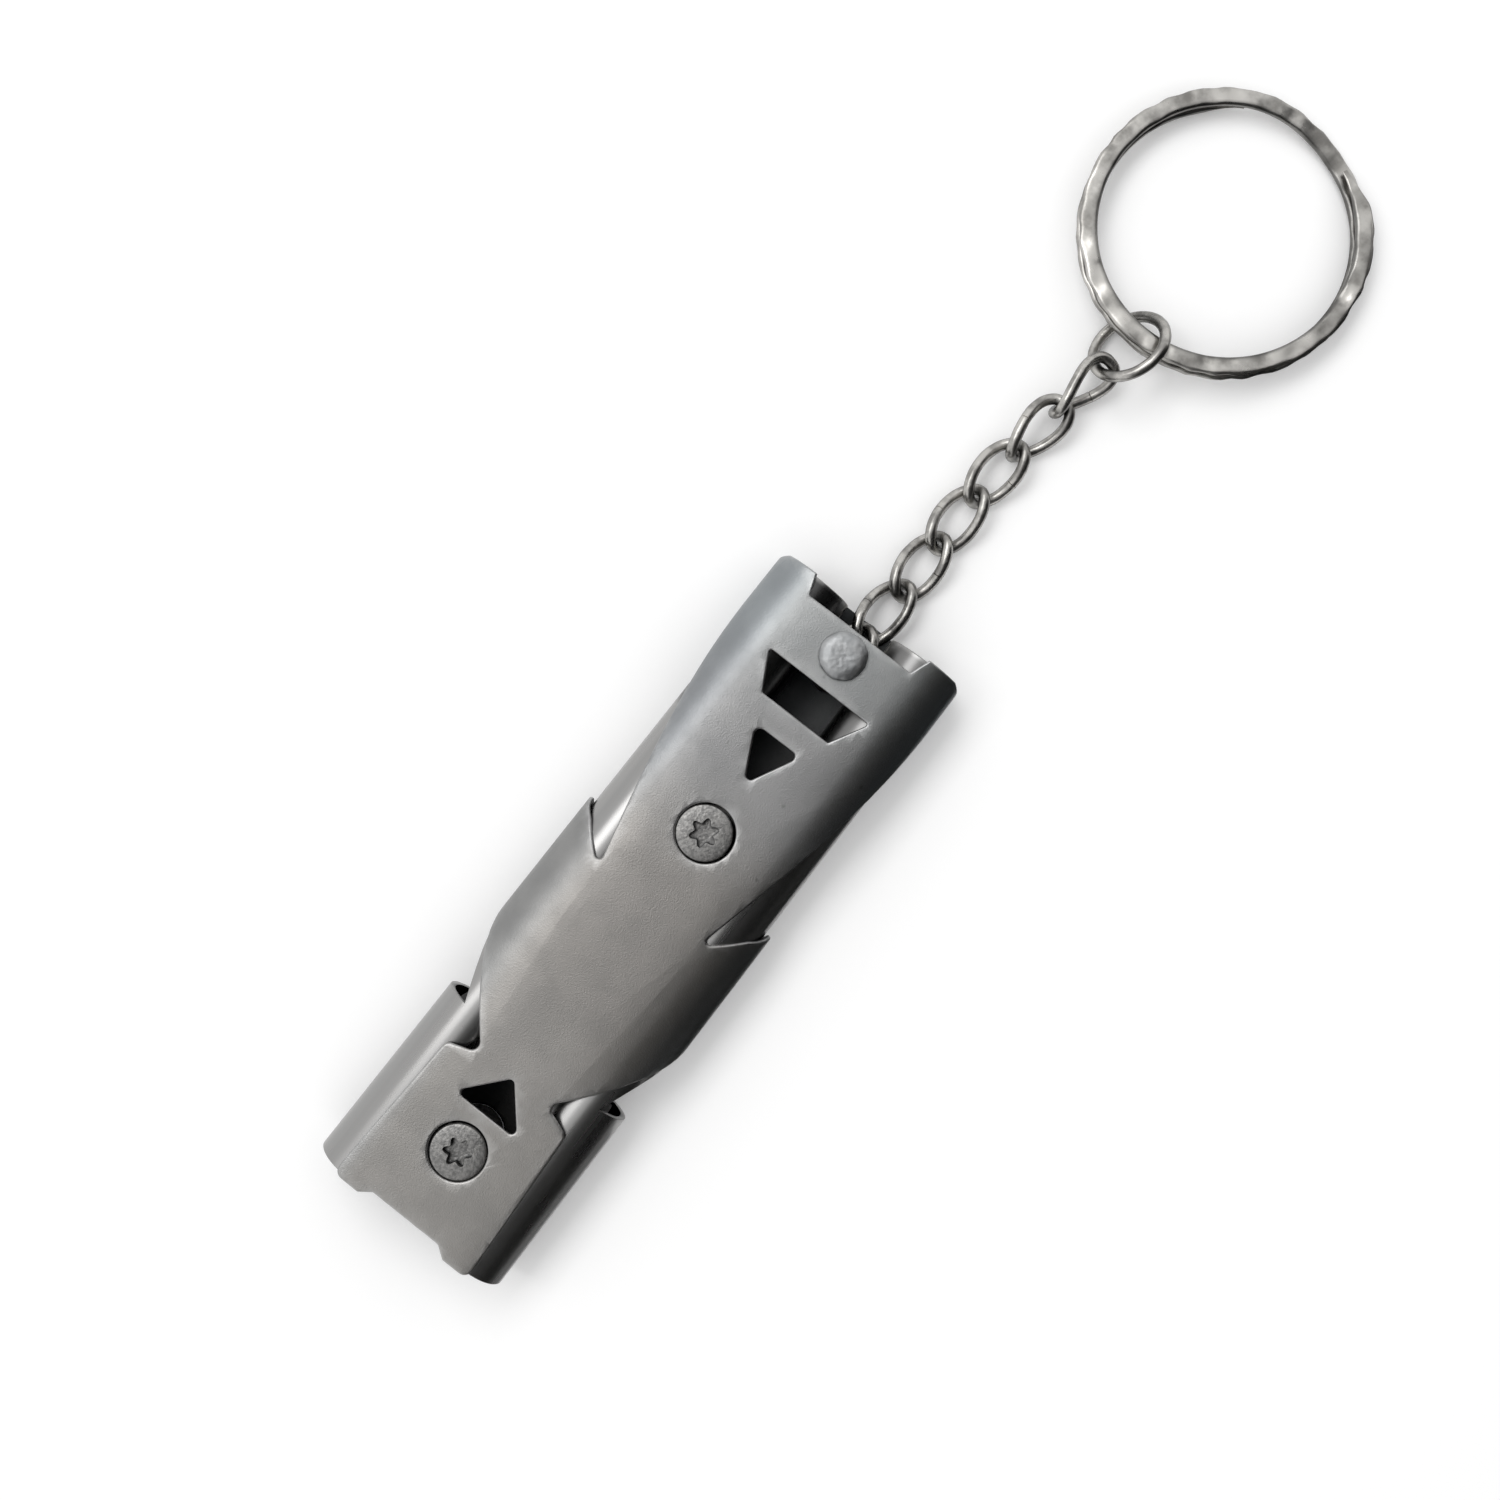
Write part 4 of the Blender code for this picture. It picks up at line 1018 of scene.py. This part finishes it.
# %% Hammer blows
END_TAPER, END_DROP, END_THIN, TAPER_AT = 22.0, 0.36, 0.3, 0.6
spread = np.random.default_rng(7)
blows = []
for turn_height in (-rise / 2, rise / 2):
    angle = spread.uniform(0.0, 8.0)
    while angle < 360.0:
        for up in (1, 0, -1):
            at = math.radians(angle + spread.uniform(-4.0, 4.0))
            radius = RING_R - (spread.uniform(0.3, BAND - 0.2) if up else 0.0)
            on_wall = spread.uniform(-0.2, 0.2)
            height = turn_height + (up * LEAF / 2 if up else on_wall)
            inward = Vector((0, 0, -up)) if up else Vector((-math.cos(at), -math.sin(at), 0))
            blows.append((Vector((radius * math.cos(at), radius * math.sin(at), height)), inward,
                          spread.uniform(0.9, 1.5), spread.uniform(0.08, 0.17)))
        angle += spread.uniform(8.0, 14.0)
for v in ring.verts:
    at = math.degrees(math.atan2(v.co.y, v.co.x)) % 360
    upper = v.co.z > 0
    from_end = 360 - CLIMB - at if upper else at - CLIMB
    if -0.01 < from_end < END_TAPER:
        share = smooth(from_end, 0.0, END_TAPER)
        size, drop = END_THIN + (1 - END_THIN) * share, END_DROP * (1 - share) if upper else 0.0
        level, axis_r = math.copysign(rise / 2, v.co.z), RING_R - TAPER_AT * BAND
        v.co.z = level + (v.co.z - level) * size - drop
        v.co.xy = v.co.xy.normalized() * (axis_r + (v.co.xy.length - axis_r) * size)
rim_layer = ring.verts.layers.float.new("rim")
inner_wall_shade = ring.verts.layers.float.new("inside")
ring.normal_update()
places = np.array([tuple(v.co) for v in ring.verts])
normals = np.array([tuple(v.normal) for v in ring.verts])
moves, hits = np.zeros_like(places), np.zeros(len(places))
for middle, inward, width, depth in blows:
    reach = np.linalg.norm(places - np.array(middle), axis=1) / width
    facing = np.maximum(0.0, -(normals @ np.array(inward)))
    share = np.where(reach < 1.0, (1 - reach ** 2) ** 2, 0.0) * facing
    moves += share[:, None] * depth * np.array(inward)
    hits += share
DEEPEST = 0.2
for v, push, hit in zip(ring.verts, moves, hits):
    v.co += Vector(push * min(1.0, DEEPEST / max(1e-6, np.linalg.norm(push))))
    v[rim_layer] = 0.5 * max(0.0, 1.0 - hit)
    # Painted shade on the band's inner wall.
    v[inner_wall_shade] = 0.6 * smooth(RING_R - v.co.xy.length, BAND - 0.45, BAND - 0.1)
print("hammer blows:", len(blows), "kept to", DEEPEST, "mm")

# %% Put the ring in its place
RING_FIT, RING_SPIN = 0.9957, 93.5
bmesh.ops.scale(ring, vec=(RING_FIT, RING_FIT, 1.0), verts=ring.verts)
move(ring, Matrix.Translation(ring_centre) @ (ring_turn @ turn_about("Z", RING_SPIN, 3)).to_4x4())
finish("hammered_ring", ring, RING_NICKEL, "split_ring", body="split_ring", sharp=45.0)

# %% [markdown]
# ## Floor, cards and lamps
# Metal shows what stands round it. In the photograph a wide lamp hangs above and to the left of
# the whistle, and dark cards beside it draw the black bands on the flanks. The cards are seen
# only by reflections. The floor and the world are white to the camera and in reflections, and
# duller for the light that they scatter, so that nothing is overlit.

# %% Floor and world


def whites(tree, dull, target):
    """White to the eye, and duller for the light that is scattered."""
    path = grow(tree, "ShaderNodeLightPath")
    seen = arithmetic(tree, "MAXIMUM", path.outputs["Is Camera Ray"], path.outputs["Is Glossy Ray"])
    seen = arithmetic(tree, "MAXIMUM", seen, path.outputs["Is Transmission Ray"])
    tree.links.new(blend_colour(tree, seen, (dull, dull, dull), (1.0, 1.0, 1.0)), target)


def matt(name):
    """A new material without shine, and its shader."""
    made = bpy.data.materials.new(name)
    made.use_nodes = True
    shader = made.node_tree.nodes["Principled BSDF"]
    shader.inputs["Roughness"].default_value = 0.9
    return made, shader


def panel(name, look, size, place):
    """A flat rectangle with one material."""
    bm = bmesh.new()
    bmesh.ops.create_grid(bm, x_segments=1, y_segments=1, size=0.5)
    move(bm, place @ Matrix.Diagonal((*size, 1.0, 1.0)))
    return to_object(name, bm, look)


pale, paper = matt("pale paper")
paper.inputs["Specular IOR Level"].default_value = 0.0
whites(pale.node_tree, 0.55, paper.inputs["Base Color"])
panel("floor", pale, (6.0, 6.0), Matrix.Translation((0, 0, -0.00005)))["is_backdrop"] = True

world = bpy.data.worlds.new("studio")
bpy.context.scene.world = world
world.use_nodes = True
sky = world.node_tree.nodes["Background"]
whites(world.node_tree, 0.78, sky.inputs["Color"])
sky.inputs["Strength"].default_value = 1.0
print("floor:", pale.name, "and world:", world.name)

# %% Dark cards and lamps


def card(name, middle, size, tilt_degrees, shade=0.02):
    """A dark card that only reflections see; tilt turns it about Y."""
    felt, shader = matt(name)
    shader.inputs["Base Color"].default_value = (shade, shade, shade, 1.0)
    made = panel(name, felt, size, Matrix.Translation(middle) @ turn_about("Y", tilt_degrees))
    made.visible_camera = made.visible_diffuse = made.visible_shadow = made.visible_transmission = False
    made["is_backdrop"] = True


card("card_top", (0.0590, -0.05, 0.3245), (0.114, 0.20), 49.4)
card("card_right", (0.218, 0.05, 0.142), (0.374, 0.70), 49.4)
card("card_floor_right", (0.180, 0.191, 0.0001), (0.335, 0.408), 0.0)
card("card_floor_mouth", (0.186, -0.158, 0.0001), (0.322, 0.286), 0.0)
card("card_floor_near", (0.0185, -0.158, 0.0001), (0.012, 0.286), 0.0, shade=0.25)


def lamp(name, location, aim, size, power):
    light = bpy.data.lights.new(name, "AREA")
    light.shape, light.size, light.size_y, light.energy = "RECTANGLE", size[0], size[1], power
    made = bpy.data.objects.new(name, light)
    made.location = location
    made.rotation_euler = (Vector(aim) - Vector(location)).to_track_quat("-Z", "X").to_euler()
    bpy.context.collection.objects.link(made)


lamp("key", (-0.200, 0.08, 0.358), (0.0, 0.08, 0.0), (0.17, 0.40), 0.62)
lamp("fill", (0.25, -0.25, 0.45), (0.0, 0.03, 0.0), (0.30, 0.30), 0.1)
print("lamps:", ", ".join(light.name for light in bpy.data.lights))

# %% [markdown]
# ## Camera
# The photograph looks almost straight down, with the whistle lying along a slant of 52 degrees.
# The camera's place and turn were fitted to the screws, the rivet, the windows, the flanks and
# the ring.

# %% Camera
CAMERA_AT = Vector((0.004178, 0.021358, 0.143234))
CAMERA_RIGHT = Vector((0.788242, 0.614128, -0.039002))
CAMERA_UP = Vector((-0.614027, 0.789124, 0.015926))
camera_data = bpy.data.cameras.new("camera")
camera_data.sensor_width, camera_data.lens = 36.0, 38.737
camera_data.clip_start, camera_data.clip_end = 0.01, 10.0
camera = bpy.data.objects.new("camera", camera_data)
turn = Matrix((CAMERA_RIGHT, CAMERA_UP, CAMERA_RIGHT.cross(CAMERA_UP))).transposed()
camera.matrix_world = Matrix.Translation(CAMERA_AT) @ turn.to_4x4()
bpy.context.collection.objects.link(camera)
bpy.context.scene.camera = camera
bpy.context.scene.view_settings.view_transform = "Standard"
print("camera:", round(CAMERA_AT.z * 1000), "mm above the floor, lens", camera_data.lens, "mm")

# %% [markdown]
# ## The model's box
# The finer meshes must not change the whistle's size, so the box of the dressed model is printed.

# %% Print the model's box and finish
low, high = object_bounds()
print("model box in mm:", [round(v * 1000, 1) for v in (*low, *high)])
